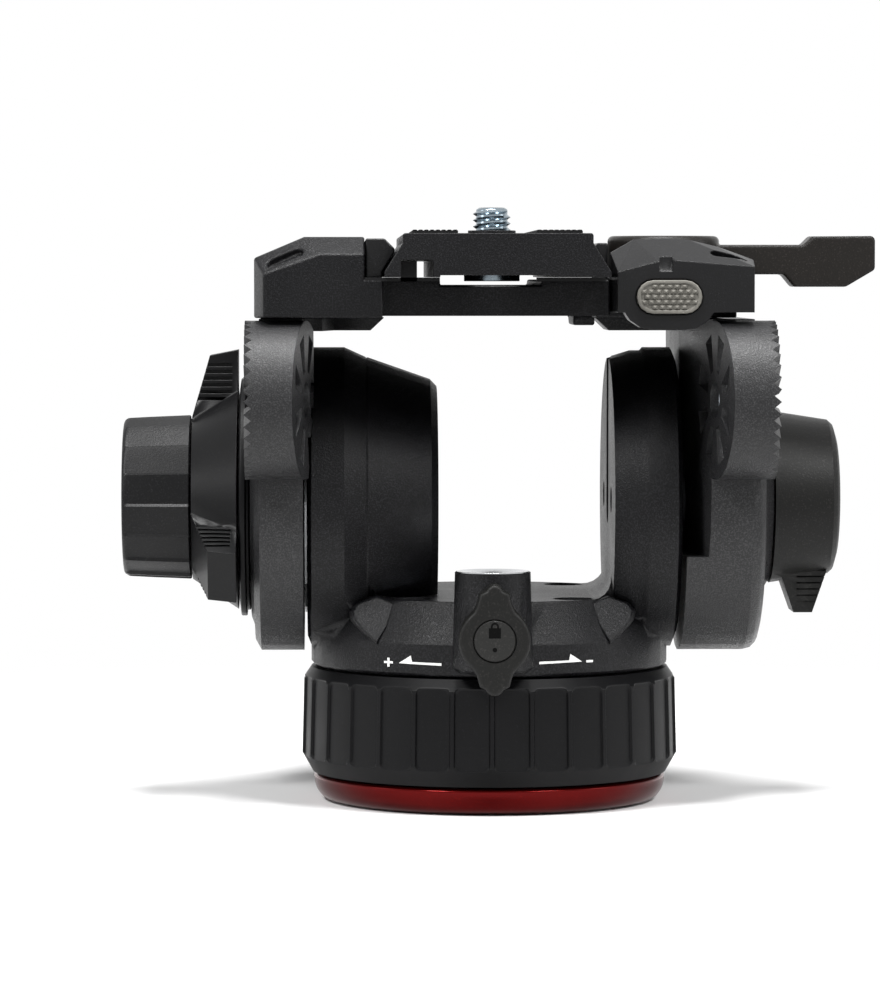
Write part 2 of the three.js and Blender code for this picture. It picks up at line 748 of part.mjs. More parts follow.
const finishes = {
  powderCoat: { color: 0x161617, roughness: 0.62, metalness: 0 },
  satinCast: { color: 0x3a3a3b, roughness: 0.5, metalness: 0 },
  glossBlack: { color: 0x0e0e0f, roughness: 0.3, metalness: 0 },
  ringBlack: { color: 0x1d1e20, roughness: 0.48, metalness: 0 },
  mouldedBlack: { color: 0x222223, roughness: 0.42, metalness: 0 },
  mouldedGrey: { color: 0x2f2e2d, roughness: 0.5, metalness: 0 },
  rubber: { color: 0x262627, roughness: 0.85, metalness: 0 },
  redAnodised: { color: 0x9c1f18, roughness: 0.35, metalness: 0.3 },
  steel: { color: 0xa9b0b6, roughness: 0.3, metalness: 1 },
  aluminium: { color: 0x8f9194, roughness: 0.45, metalness: 1 },
  leverPlastic: { color: 0x37332f, roughness: 0.5, metalness: 0 },
  buttonGrey: { color: 0x84807a, roughness: 0.55, metalness: 0 },
  bronze: { color: 0x9a7440, roughness: 0.4, metalness: 1 },
  brakeLining: { color: 0x4b443c, roughness: 0.9, metalness: 0 },
  clearAcrylic: { color: 0xd8dcc9, roughness: 0.1, metalness: 0 },
};

const videoHead = new THREE.Group();

// Each body of the head is a group, and each piece is a named mesh in it
function body(parent = videoHead) {
  const group = new THREE.Group();
  parent.add(group);
  return group;
}

function addPiece(group, name, solid, finish) {
  const made = solid.getMesh();
  const points = new Float32Array(made.numVert * 3);
  for (let i = 0; i < made.numVert; i++) {
    points.set(made.vertProperties.subarray(i * made.numProp, i * made.numProp + 3), i * 3);
  }
  const geometry = new THREE.BufferGeometry();
  geometry.setAttribute("position", new THREE.BufferAttribute(points, 3));
  geometry.setIndex(new THREE.BufferAttribute(made.triVerts, 1));
  geometry.computeVertexNormals();
  const mesh = new THREE.Mesh(geometry, new THREE.MeshStandardMaterial(finishes[finish]));
  mesh.name = name;
  group.add(mesh);
}

// Base on the tripod: everything here stands still while the head pans
function makeBase() {
  const base = body();
  const disc = revolve("Z", [
    [bushRadius + runningGap, 0],
    [baseDiscRadius, 0],
    [baseDiscRadius, baseDiscHeight],
    [baseHubRadius, baseDiscHeight],
    [baseHubRadius, baseHubHeight],
    [bushRadius + runningGap, baseHubHeight],
  ], mediumFacets);
  addPiece(base, "base_disc", disc, "aluminium");

  const roundHeight = baseRingHeight - baseRingLip;
  const ringSide = arc([0, 0], 1, -90, 0, 3).map(([across, up]) => [
    baseRingFootRadius + across * (baseRingRadius - baseRingFootRadius),
    roundHeight * (1 + up),
  ]);
  const ring = revolve("Z", [
    [baseDiscRadius + runningGap, 0],
    ...ringSide,
    [baseRingRadius, baseRingHeight - baseRingTopChamfer],
    [baseRingRadius - baseRingTopChamfer, baseRingHeight],
    [baseDiscRadius + runningGap, baseRingHeight],
  ]);
  addPiece(base, "base_ring", ring, "redAnodised");

  const bush = tube("Z", bushBore, bushRadius, bushRecess, baseHubHeight, hiddenFacets);
  addPiece(base, "mounting_bush", bush, "steel");

  const cupBottom = baseHubHeight + runningGap;
  const flangeTop = cupBottom + spindleFlangeThickness;
  const bearingSeat = skirtBottom + runningGap;
  const spindle = revolve("Z", [
    [0, cupBottom],
    [spindleFlangeRadius, cupBottom],
    [spindleFlangeRadius, flangeTop],
    [spindleShoulderRadius, flangeTop],
    [spindleShoulderRadius, bearingSeat],
    [spindleRadius, bearingSeat],
    [spindleRadius, brakeDrumBottom - runningGap],
    [spindleThreadRadius, brakeDrumBottom - runningGap],
    [spindleThreadRadius, brakeDrumBottom + brakeDrumHeight],
    [0, brakeDrumBottom + brakeDrumHeight],
  ], smallFacets);
  addPiece(base, "pan_spindle", spindle, "steel");

  const washer = tube(
    "Z",
    spindleShoulderRadius + runningGap,
    spindleFlangeRadius - runningGap,
    flangeTop + runningGap,
    flangeTop + runningGap + thrustWasherHeight,
  );
  addPiece(base, "pan_thrust_washer", washer, "bronze");

  const cup = revolve("Z", [
    [spindleFlangeRadius + runningGap, cupBottom],
    [fluidCupRadius, cupBottom],
    [fluidCupRadius, fluidCupTop],
    [fluidCupRadius - cupWall, fluidCupTop],
    [fluidCupRadius - cupWall, cupBottom + cupFloor],
    [spindleFlangeRadius + runningGap, cupBottom + cupFloor],
  ], mediumFacets);
  addPiece(base, "pan_fluid_cup", cup, "aluminium");

  const springWasher = tube(
    "Z",
    fluidCupRadius - cupWall + runningGap,
    fluidCupRadius,
    fluidCupTop + runningGap,
    fluidCupTop + runningGap + frictionWasherHeight,
  );
  addPiece(base, "pan_friction_washer", springWasher, "brakeLining");

  const drum = tube(
    "Z",
    spindleThreadRadius + runningGap,
    brakeDrumRadius,
    brakeDrumBottom,
    brakeDrumBottom + brakeDrumHeight,
  );
  addPiece(base, "pan_brake_drum", drum, "steel");
}

// Pan drag ring: a loft whose cross-section has one flat panel and one narrow ridge per pitch
function makeDragRing() {
  const ridgeShares = [-0.06, 0.06]; // of a pitch, where the ridge starts and ends
  const panelShares = [0.1, 0.9]; // and the panel
  const loopAt = (radius, depth, height) =>
    Array.from({ length: dragRingPanels }, (_, i) =>
      [...ridgeShares, ...panelShares].map((share, k) => {
        const angle = ((i + share) / dragRingPanels) * 2 * Math.PI - Math.PI / 2;
        const reach = k < ridgeShares.length ? radius : radius - depth;
        return [reach * Math.cos(angle), reach * Math.sin(angle), height];
      }),
    ).flat();
  const coneTop = dragRingBottom + dragRingFootCone;
  const crownStart = dragRingTop - dragRingCrownCone;
  const flangeBottom = dragRingTop - camFlangeThickness;
  const outside = loft([
    loopAt(dragRingFootRadius, 0, dragRingBottom),
    loopAt(dragRingWideRadius, 0, coneTop),
    loopAt(dragRingWideRadius, panelDepth, coneTop + panelRunOut),
    loopAt(dragRingUpperRadius, panelDepth, crownStart - panelRunOut),
    loopAt(dragRingUpperRadius, 0, crownStart),
    loopAt(dragRingCrownRadius, 0, dragRingTop),
  ]);
  const bore = revolve("Z", [
    [0, dragRingBottom - cutOverrun],
    [dragRingBore, dragRingBottom - cutOverrun],
    [dragRingBore, flangeBottom],
    [camFlangeBore, flangeBottom],
    [camFlangeBore, dragRingTop + cutOverrun],
    [0, dragRingTop + cutOverrun],
  ], mediumFacets);
  addPiece(body(), "pan_drag_ring", cut(outside, bore), "ringBlack");
}

// The gap between the arms, grown by "spread" on every side
function gapPrism(spread, halfLength) {
  const top = tiltAxisHeight + armRadius + cutOverrun;
  const radius = Math.max(gapCornerRadius - spread, 0);
  const outline = rounded([
    [gapLeft - spread, frameFloor - spread, radius],
    [gapRight + spread, frameFloor - spread, radius],
    [gapRight + spread, top],
    [gapLeft - spread, top],
  ]);
  return prism("Y", outline, -halfLength, halfLength);
}

function armHousing(side) {
  const left = side < 0;
  const inner = left ? gapLeft : gapRight;
  const outer = left ? leftArmOuter : rightArmOuter;
  const step = left ? 0 : armStepHeight;
  const chamferEnd = inner + side * armInnerChamfer;
  const profile = [
    [0, inner],
    [armInnerRadius, inner],
    [armRadius - step, chamferEnd],
    ...(left
      ? []
      : [
          [armRadius - step, rightArmStep],
          [armRadius, rightArmStep + armStepLength],
        ]),
    [armRadius, outer - side * armOuterChamfer],
    [armOuterRadius, outer],
    [0, outer],
  ];
  return aboutTilt(profile);
}

// The corner between floor and arm, filled by a flat facet that slopes out to the column
function cornerGusset(side) {
  const inner = side < 0 ? gapLeft : gapRight;
  return hull(
    [-1, 1].flatMap((end) =>
      gussetCornerShares.map(([into, halfLength, rise]) => [
        inner + side * into * armRadius,
        end * halfLength * armRadius,
        frameFloor + rise * armRadius,
      ]),
    ),
  );
}

function lockBoss() {
  const post = revolve("Z", [
    [0, lockBossBottom],
    [lockBossRadius - lockBossChamfer, lockBossBottom],
    [lockBossRadius, lockBossBottom + lockBossChamfer],
    [lockBossTopRadius, lockBossTop],
    [0, lockBossTop],
  ], mediumFacets, [lockBossX, lockBossY, 0]);
  const stub = rod("Y", lockStubRadius, lockStubFront, lockBossY, mediumFacets, [
    lockBossX, 0, lockAxisHeight,
  ]);
  return join(post, stub);
}

function makeFrame() {
  const column = revolve("Z", [
    [0, skirtBottom],
    [columnRadius - skirtChamfer, skirtBottom],
    [columnRadius, skirtBottom + skirtChamfer],
    [columnRadius, coneBottom],
    [coneTopRadius, frameFloor],
    [coneTopRadius - gapCornerRadius, frameFloor + gapCornerRadius],
    [0, frameFloor + gapCornerRadius],
  ]);
  const outside = join(
    column, armHousing(-1), armHousing(1), cornerGusset(-1), cornerGusset(1), lockBoss(),
  );
  const bearingTop = brakeDrumBottom - runningGap;
  const spindleHole = rod("Z", panBearingRadius + runningGap, skirtBottom - cutOverrun, bearingTop);
  const drumPocket = rod("Z", framePocketRadius, skirtBottom, framePocketTop);
  const shoeBore = rod("Y", shoeRadius + runningGap, lockStubFront - cutOverrun, 0, smallFacets, [
    lockBossX, 0, lockAxisHeight,
  ]);
  const levelSeat = rod(
    "Z", levelRadius + runningGap, lockBossTop - levelDepth, lockBossTop + cutOverrun,
    mediumFacets, [lockBossX, lockBossY, 0],
  );
  const leftBore = aboutTilt([
    [0, leftArmOuter - cutOverrun],
    [armBoreRadius, leftArmOuter - cutOverrun],
    [armBoreRadius, gapLeft - armWall],
    [axleRadius + runningGap, gapLeft - armWall],
    [axleRadius + runningGap, gapLeft + cutOverrun],
    [0, gapLeft + cutOverrun],
  ], mediumFacets);
  const rightBore = aboutTilt([
    [0, gapRight + armWall],
    [armBoreRadius, gapRight + armWall],
    [armBoreRadius, rightArmOuter + cutOverrun],
    [0, rightArmOuter + cutOverrun],
  ], hiddenFacets);
  const floorRecesses = [-1, 1].flatMap((side) =>
    [-1, 1].map((end) =>
      rod(
        "Z", floorScrewRadius + runningGap, frameFloor - floorScrewRecess,
        frameFloor + cutOverrun, smallFacets, [side * floorScrewX, end * floorScrewY, 0],
      ),
    ),
  );
  const wallRecesses = [-1, 1].map((end) =>
    rod(
      "X", wallScrewRadius + runningGap, gapRight - cutOverrun, gapRight + wallScrewDepth,
      smallFacets, [0, end * wallScrewY, tiltAxisHeight],
    ),
  );
  const slotTop = tiltAxisHeight + armRadius;
  const slotOutline = [
    ...arc([0, wallSlotBottom + wallSlotHalfWidth], wallSlotHalfWidth, 180, 360, 6),
    [wallSlotHalfWidth, slotTop],
    [-wallSlotHalfWidth, slotTop],
  ];
  const wallSlot = prism("X", slotOutline, gapRight - cutOverrun, gapRight + wallSlotDepth);
  const frame = cut(
    outside, gapPrism(0, 2 * columnRadius).subtract(lockBoss()), spindleHole, drumPocket, shoeBore,
    levelSeat, leftBore, rightBore, floorRecesses, wallRecesses, wallSlot,
  );
  const group = body();
  addPiece(group, "u_frame", frame, "powderCoat");
  makeFrameInside(group, bearingTop);
  makeDrum(group);
  makeLevel(group);
  makePanLock(group);
}

function makeFrameInside(group, bearingTop) {
  const bearing = tube(
    "Z", spindleRadius + runningGap, panBearingRadius, skirtBottom + 2 * runningGap,
    bearingTop - runningGap,
  );
  addPiece(group, "pan_bearing", bearing, "steel");

  const rotorRadius = fluidCupRadius - cupWall - 2 * runningGap;
  const rotorTop = skirtBottom - runningGap;
  const rotorBottom = baseHubHeight + 2 * runningGap + cupFloor + runningGap;
  const rotor = revolve("Z", [
    [rotorRadius - rotorWall, rotorBottom],
    [rotorRadius, rotorBottom],
    [rotorRadius, rotorTop],
    [spindleFlangeRadius + cupFloor, rotorTop],
    [spindleFlangeRadius + cupFloor, rotorTop - rotorWall],
    [rotorRadius - rotorWall, rotorTop - rotorWall],
  ], hiddenFacets);
  addPiece(group, "pan_drag_rotor", rotor, "aluminium");

  for (const [side, sideName] of [[-1, "left"], [1, "right"]]) {
    for (const [end, endName] of [[-1, "front"], [1, "rear"]]) {
      const seat = frameFloor - floorScrewRecess + runningGap;
      const top = seat + floorScrewHeadHeight;
      const centre = [side * floorScrewX, end * floorScrewY, 0];
      const screw = cut(
        rod("Z", floorScrewRadius, seat, top, smallFacets, centre),
        rod("Z", floorScrewSocket, top - floorScrewSocketDepth, top + cutOverrun, 6, centre),
      );
      addPiece(group, `floor_screw_${sideName}_${endName}`, screw, "steel");
    }
  }
  for (const [end, endName] of [[-1, "front"], [1, "rear"]]) {
    const screw = rod(
      "X", wallScrewRadius, gapRight + runningGap, gapRight + wallScrewDepth - runningGap,
      smallFacets, [0, end * wallScrewY, tiltAxisHeight],
    );
    addPiece(group, `wall_screw_${endName}`, screw, "steel");
  }

  const leftSeat = gapLeft - armWall - runningGap;
  const cupMouth = leftArmOuter + armOuterChamfer;
  const tiltCup = aboutTilt([
    [axleRadius + runningGap, leftSeat],
    [tiltCupRadius, leftSeat],
    [tiltCupRadius, cupMouth],
    [tiltCupRadius - cupWall, cupMouth],
    [tiltCupRadius - cupWall, leftSeat - tiltCupFloor],
    [axleRadius + runningGap, leftSeat - tiltCupFloor],
  ], mediumFacets);
  addPiece(group, "tilt_fluid_cup", tiltCup, "aluminium");

  const leftAxle = aboutTilt([
    [0, drumEnd - drumWall - runningGap],
    [axleRadius, drumEnd - drumWall - runningGap],
    [axleRadius, leftFaceTop],
    [axleEndRadius, leftFaceTop],
    [axleEndRadius, dragKnobOuter + knobEndWall],
    [0, dragKnobOuter + knobEndWall],
  ], smallFacets);
  addPiece(group, "tilt_axle_left", leftAxle, "steel");

  const rightSeat = gapRight + armWall + runningGap;
  const rightAxle = aboutTilt([
    [0, rightSeat],
    [axleFlangeRadius, rightSeat],
    [axleFlangeRadius, rightSeat + axleFlangeThickness],
    [axleRadius, rightSeat + axleFlangeThickness],
    [axleRadius, rightTiltOuter],
    [axleEndRadius, rightTiltOuter],
    [axleEndRadius, lockKnobConeX - knobEndWall],
    [0, lockKnobConeX - knobEndWall],
  ], smallFacets);
  addPiece(group, "tilt_axle_right", rightAxle, "steel");

  const pad = aboutTilt([
    [padInnerRadius, rightSeat],
    [padOuterRadius, rightSeat],
    [padOuterRadius, rightSeat + padThickness],
    [padInnerRadius, rightSeat + padThickness],
  ], hiddenFacets);
  addPiece(group, "tilt_brake_pad", pad, "brakeLining");
}

// Counterbalance drum on the left arm's inner face, cut off flat above the frame's floor
function makeDrum(group) {
  const open = gapLeft + runningGap;
  const shell = aboutTilt([
    [drumBore, open],
    [armInnerRadius, open],
    [drumShoulderRadius, drumShoulder],
    [drumEndRadius, drumEnd],
    [0, drumEnd],
    [0, drumEnd - drumWall],
    [drumBore, drumEnd - drumWall],
  ]);
  addPiece(group, "counterbalance_drum", shell.intersect(gapPrism(-runningGap, columnRadius)),
    "powderCoat");

  const springRoom = springWireRadius + runningGap;
  const spring = coil(
    tiltCentre, springMeanRadius, springWireRadius, springTurns,
    open + springRoom, drumEnd - drumWall - springRoom,
  );
  addPiece(group, "counterbalance_spring", spring, "steel");
}

function makeLevel(group) {
  const seat = lockBossTop - levelDepth + runningGap;
  const centre = [lockBossX, lockBossY, 0];
  const vial = revolve("Z", [
    [0, seat],
    [levelRadius, seat],
    [levelRadius, lockBossTop],
    [levelRadius - levelWall, lockBossTop],
    [levelRadius - levelWall, seat + levelFloor],
    [0, seat + levelFloor],
  ], mediumFacets, centre);
  addPiece(group, "bubble_level_cup", vial, "aluminium");

  const paneRadius = levelRadius - levelWall - runningGap;
  const paneBottom = seat + levelFloor + runningGap;
  const paneTop = paneBottom + windowThickness;
  const dome = arc([0, 0], 1, 0, 90, 3).map(([across, up]) => [
    paneRadius * across,
    paneTop - windowDome + windowDome * up,
  ]);
  dome[dome.length - 1][0] = 0;
  const pane = revolve("Z", [[0, paneBottom], [paneRadius, paneBottom], ...dome], mediumFacets,
    centre);
  addPiece(group, "bubble_level_window", pane, "clearAcrylic");
}

function makePanLock(frameGroup) {
  const centre = [lockBossX, 0, lockAxisHeight];
  const shoeFace = -brakeDrumRadius - runningGap - shoeTravel;
  const shoeBack = shoeFace - shoeLength;
  const shoe = rod("Y", shoeRadius, shoeBack, shoeFace, smallFacets, centre);
  addPiece(body(frameGroup), "pan_brake_shoe", shoe, "bronze");

  const knobBack = lockStubFront - runningGap;
  const knobFront = knobBack - lockKnobThickness;
  const lock = body(frameGroup);
  const stem = rod("Y", stemRadius, knobBack + runningGap, shoeBack - runningGap, smallFacets,
    centre);
  addPiece(lock, "pan_lock_stem", stem, "steel");

  // Round body with a tapered wing above and below, and a bevelled front
  const outlineAt = (inset, y) => {
    const tip = lockWingTipHalfWidth - inset;
    const wing = (reach, side) => [
      [side * (lockWingRootHalfWidth - inset), side * lockWingRoot],
      [side * tip, side * (reach - inset) * lockWingShoulderShare],
      [side * tip * lockWingTipShare, side * (reach - inset)],
      [-side * tip * lockWingTipShare, side * (reach - inset)],
      [-side * tip, side * (reach - inset) * lockWingShoulderShare],
      [-side * (lockWingRootHalfWidth - inset), side * lockWingRoot],
    ];
    const sideArc = (middle) =>
      arc([0, 0], lockKnobRadius - inset, middle - lockKnobSideAngle,
        middle + lockKnobSideAngle, 8);
    return [
      ...sideArc(0),
      ...wing(lockKnobTopReach, 1),
      ...sideArc(180),
      ...wing(lockKnobBottomReach, -1),
    ].map(([x, z]) => [lockBossX + x, y, lockAxisHeight + z]);
  };
  const knob = cut(
    loft([
      outlineAt(0, knobBack),
      outlineAt(0, knobFront + lockKnobBevel),
      outlineAt(lockKnobBevel, knobFront),
    ]),
    rod("Y", lockCapRadius + runningGap, knobFront - cutOverrun, knobFront + lockCapThickness,
      mediumFacets, centre),
  );
  addPiece(lock, "pan_lock_knob", knob, "mouldedGrey");
  const cap = rod("Y", lockCapRadius, knobFront, knobFront + lockCapThickness - runningGap,
    mediumFacets, centre);
  addPiece(lock, "pan_lock_cap", cap, "mouldedGrey");
}

// A rosette: a stout disc whose outer face carries radial teeth and whose inner face leans
function rosette(side) {
  const left = side < 0;
  const tip = left ? leftRosetteTip : rightRosetteTip;
  const root = tip - side * toothDepth;
  const inner = left ? leftRosetteInner : rightRosetteInner;
  const planeX = left ? leftRosettePlaneX : rightRosettePlaneX;
  const ringAt = (radius, height) =>
    Array.from({ length: rosetteTeeth * 2 }, (_, i) => {
      const angle = (i / rosetteTeeth) * Math.PI;
      const x = i % 2 === 0 ? height : root;
      return [x, rosetteY + radius * Math.cos(angle), rosetteHeight + radius * Math.sin(angle)];
    });
  const disc = loft([
    ringAt(rosetteRadius, inner).map(([, y, z]) => [inner, y, z]),
    ringAt(rosetteRadius, tip),
    ringAt(toothInnerRadius, tip),
    ringAt(toothInnerRadius, root),
  ]);
  const slope = -side * rosettePlaneSlopeShare;
  const [near, far] = [rosetteY - 2 * rosetteRadius, rosetteY + 2 * rosetteRadius];
  const leaning = prism(
    "Z",
    [
      [planeX + slope * (near - rosetteY), near],
      [planeX + slope * (far - rosetteY), far],
      [0, far],
      [0, near],
    ],
    rosetteHeight - 2 * rosetteRadius,
    rosetteHeight + 2 * rosetteRadius,
  );
  const pocketBottom = planeX + side * pocketDepth;
  const pocket = prism(
    "X",
    [
      [rosetteY + pocketInnerRadius, rosetteHeight - pocketRootHalfWidth],
      [rosetteY + pocketOuterRadius, rosetteHeight - pocketRimHalfWidth],
      [rosetteY + pocketOuterRadius, rosetteHeight + pocketRimHalfWidth],
      [rosetteY + pocketInnerRadius, rosetteHeight + pocketRootHalfWidth],
    ],
    Math.min(0, pocketBottom),
    Math.max(0, pocketBottom),
  );
  const pockets = Array.from({ length: pocketCount }, (_, i) =>
    turnedX(pocket, ((i + 0.5) * 360) / pocketCount, rosetteY, rosetteHeight),
  );
  return { disc, cutters: [leaning, ...pockets] };
}

// Convex web of a tilt arm: the upper round about the tilt axis run up to the platform
function armWeb(from, to) {
  const points = [];
  for (const x of [from, to]) {
    points.push([x, armTopFront, armTopHeight], [x, armTopRear, armTopHeight]);
    for (const [y, z] of arc([0, tiltAxisHeight], tiltArmRadius, 0, 180, fineFacets / 2)) {
      points.push([x, y, z]);
    }
  }
  return hull(points);
}

function tiltArm(side) {
  const left = side < 0;
  const inner = left ? leftTiltInner : rightTiltInner;
  const outer = left ? leftTiltOuter : rightTiltOuter;
  const end = left ? leftFaceTop : rightHubTop;
  const round = arc([0, 0], rightTiltRound, 90, 0, 3).map(([along, out]) => [
    tiltArmRadius - rightTiltRound + out,
    rightTiltOuter - rightTiltRound + along,
  ]);
  const disc = left
    ? aboutTilt([
        [0, inner],
        [tiltArmRadius, inner],
        [tiltArmRadius, outer + leftTiltBevel],
        [leftTiltBevelRadius, outer],
        [leftFaceRadius, outer],
        [leftFaceTopRadius, leftFaceTop],
        [0, leftFaceTop],
      ])
    : aboutTilt([
        [0, inner],
        [tiltArmRadius, inner],
        ...round,
        [rightHubRadius, rightTiltOuter],
        [rightHubTopRadius, rightHubTop],
        [0, rightHubTop],
      ]);
  const webOuter = outer - side * (left ? leftTiltBevel : rightTiltRound);
  const web = armWeb(Math.min(inner, webOuter), Math.max(inner, webOuter));
  const foot = prism(
    "Y",
    [
      [inner, armTopHeight - footThickness],
      [side * footInner, armTopHeight - footThickness],
      [side * (footInner - footBevel), armTopHeight],
      [inner, armTopHeight],
      [webOuter, armTopHeight],
      [webOuter, armTopHeight - footThickness],
    ],
    -footHalfLength,
    footHalfLength,
  );
  const { disc: boss, cutters } = rosette(side);
  const relief = aboutTilt([
    [0, 0],
    [reliefRadius, 0],
    [reliefRadius, inner],
    [0, inner],
  ]);
  const bearingEnd = inner + side * (tiltBearingWidth + 2 * runningGap);
  const bore = aboutTilt([
    [0, inner - side * cutOverrun],
    [tiltBearingRadius + runningGap, inner - side * cutOverrun],
    [tiltBearingRadius + runningGap, bearingEnd],
    [tiltBore, bearingEnd],
    [tiltBore, end + side * cutOverrun],
    [0, end + side * cutOverrun],
  ], hiddenFacets);
  const insertHole = rod(
    "X", insertRadius + runningGap, leftRosetteTip - cutOverrun, rightRosetteTip + cutOverrun,
    smallFacets, [0, rosetteY, rosetteHeight],
  );
  return join(cut(boss, relief), disc, web, foot)
    .subtract(join(...cutters, insertHole))
    .subtract(bore);
}

function makeCradle() {
  const cradle = body();
  for (const [side, name] of [[-1, "left"], [1, "right"]]) {
    addPiece(cradle, `tilt_arm_${name}`, tiltArm(side), "satinCast");
    const inner = side < 0 ? leftTiltInner : rightTiltInner;
    const bearing = aboutTilt([
      [axleRadius + runningGap, inner + side * runningGap],
      [tiltBearingRadius, inner + side * runningGap],
      [tiltBearingRadius, inner + side * (runningGap + tiltBearingWidth)],
      [axleRadius + runningGap, inner + side * (runningGap + tiltBearingWidth)],
    ], hiddenFacets);
    addPiece(cradle, `tilt_bearing_${name}`, bearing, "steel");
    const planeX = side < 0 ? leftRosettePlaneX : rightRosettePlaneX;
    const insertStart = planeX + side * insertRecess;
    const insert = tube(
      "X", insertBore, insertRadius, Math.min(insertStart, insertStart + side * insertLength),
      Math.max(insertStart, insertStart + side * insertLength), smallFacets,
      [0, rosetteY, rosetteHeight],
    );
    addPiece(cradle, `rosette_insert_${name}`, insert, "steel");
  }

  const rotorRadius = tiltCupRadius - cupWall - 2 * runningGap;
  const rotorEnd = leftTiltInner + runningGap;
  const rotorStart = gapLeft - armWall - tiltCupFloor - 3 * runningGap;
  const rotor = aboutTilt([
    [rotorRadius - tiltRotorWall, rotorStart],
    [rotorRadius, rotorStart],
    [rotorRadius, rotorEnd],
    [tiltBearingRadius + 2 * runningGap, rotorEnd],
    [tiltBearingRadius + 2 * runningGap, rotorEnd + tiltRotorWall],
    [rotorRadius - tiltRotorWall, rotorEnd + tiltRotorWall],
  ], hiddenFacets);
  addPiece(cradle, "tilt_drag_rotor", rotor, "aluminium");

  const discStart = gapRight + armWall + padThickness + 2 * runningGap;
  const disc = aboutTilt([
    [axleRadius + runningGap, discStart],
    [padOuterRadius, discStart],
    [padOuterRadius, discStart + brakeDiscThickness],
    [brakeHubRadius, discStart + brakeDiscThickness],
    [brakeHubRadius, rightTiltInner - runningGap],
    [axleRadius + runningGap, rightTiltInner - runningGap],
  ], hiddenFacets);
  addPiece(cradle, "tilt_brake_disc", disc, "steel");

  const sideCover = aboutTilt([
    [tiltBore, sideCoverSeat],
    [sideCoverSeatRadius, sideCoverSeat],
    [sideCoverSeatRadius, sideCoverFrom],
    [sideCoverRadius, sideCoverFrom],
    [sideCoverRadius, sideCoverTo + runningGap],
    [sideCoverRimRadius, sideCoverTo],
    [tiltBore, sideCoverTo],
  ]);
  addPiece(cradle, "left_side_cover", sideCover, "ringBlack");
  makePlatform(cradle);
  return cradle;
}

// The front outline of the platform's left block, at its full height or at the lowered front edge
function leftBlockPoints(y, lowered) {
  const left = lowered ? blockLeft + blockSideBevel : blockLeft;
  const shoulder = lowered ? blockShoulderFrontX : blockShoulderX;
  const edge = lowered ? blockEdgeFrontHeight : blockEdgeHeight;
  const top = lowered ? platformTop - chamferDrop : platformTop;
  return [
    [left, y, platformBottom],
    [left, y, edge],
    [shoulder, y, top],
    [blockRight, y, top],
    [blockRight, y, platformBottom],
  ];
}

// A shallow oval sunk square to a slanting face, its long axis level from side to side
function ovalMouth(centre, normal) {
  const up = new THREE.Vector3(...normal).normalize();
  const side = new THREE.Vector3(0, 1, 0).cross(up).normalize();
  const pose = new THREE.Matrix4().makeBasis(side, up.clone().cross(side), up);
  const corners = stadium([0, 0], mouthHalfLength, mouthHalfWidth, 6);
  return hull([-mouthDepth, mouthDepth].flatMap((depth) =>
    corners.map(([a, b]) =>
      new THREE.Vector3(a, b, depth)
        .applyMatrix4(pose)
        .add(new THREE.Vector3(...centre))
        .toArray(),
    ),
  ));
}

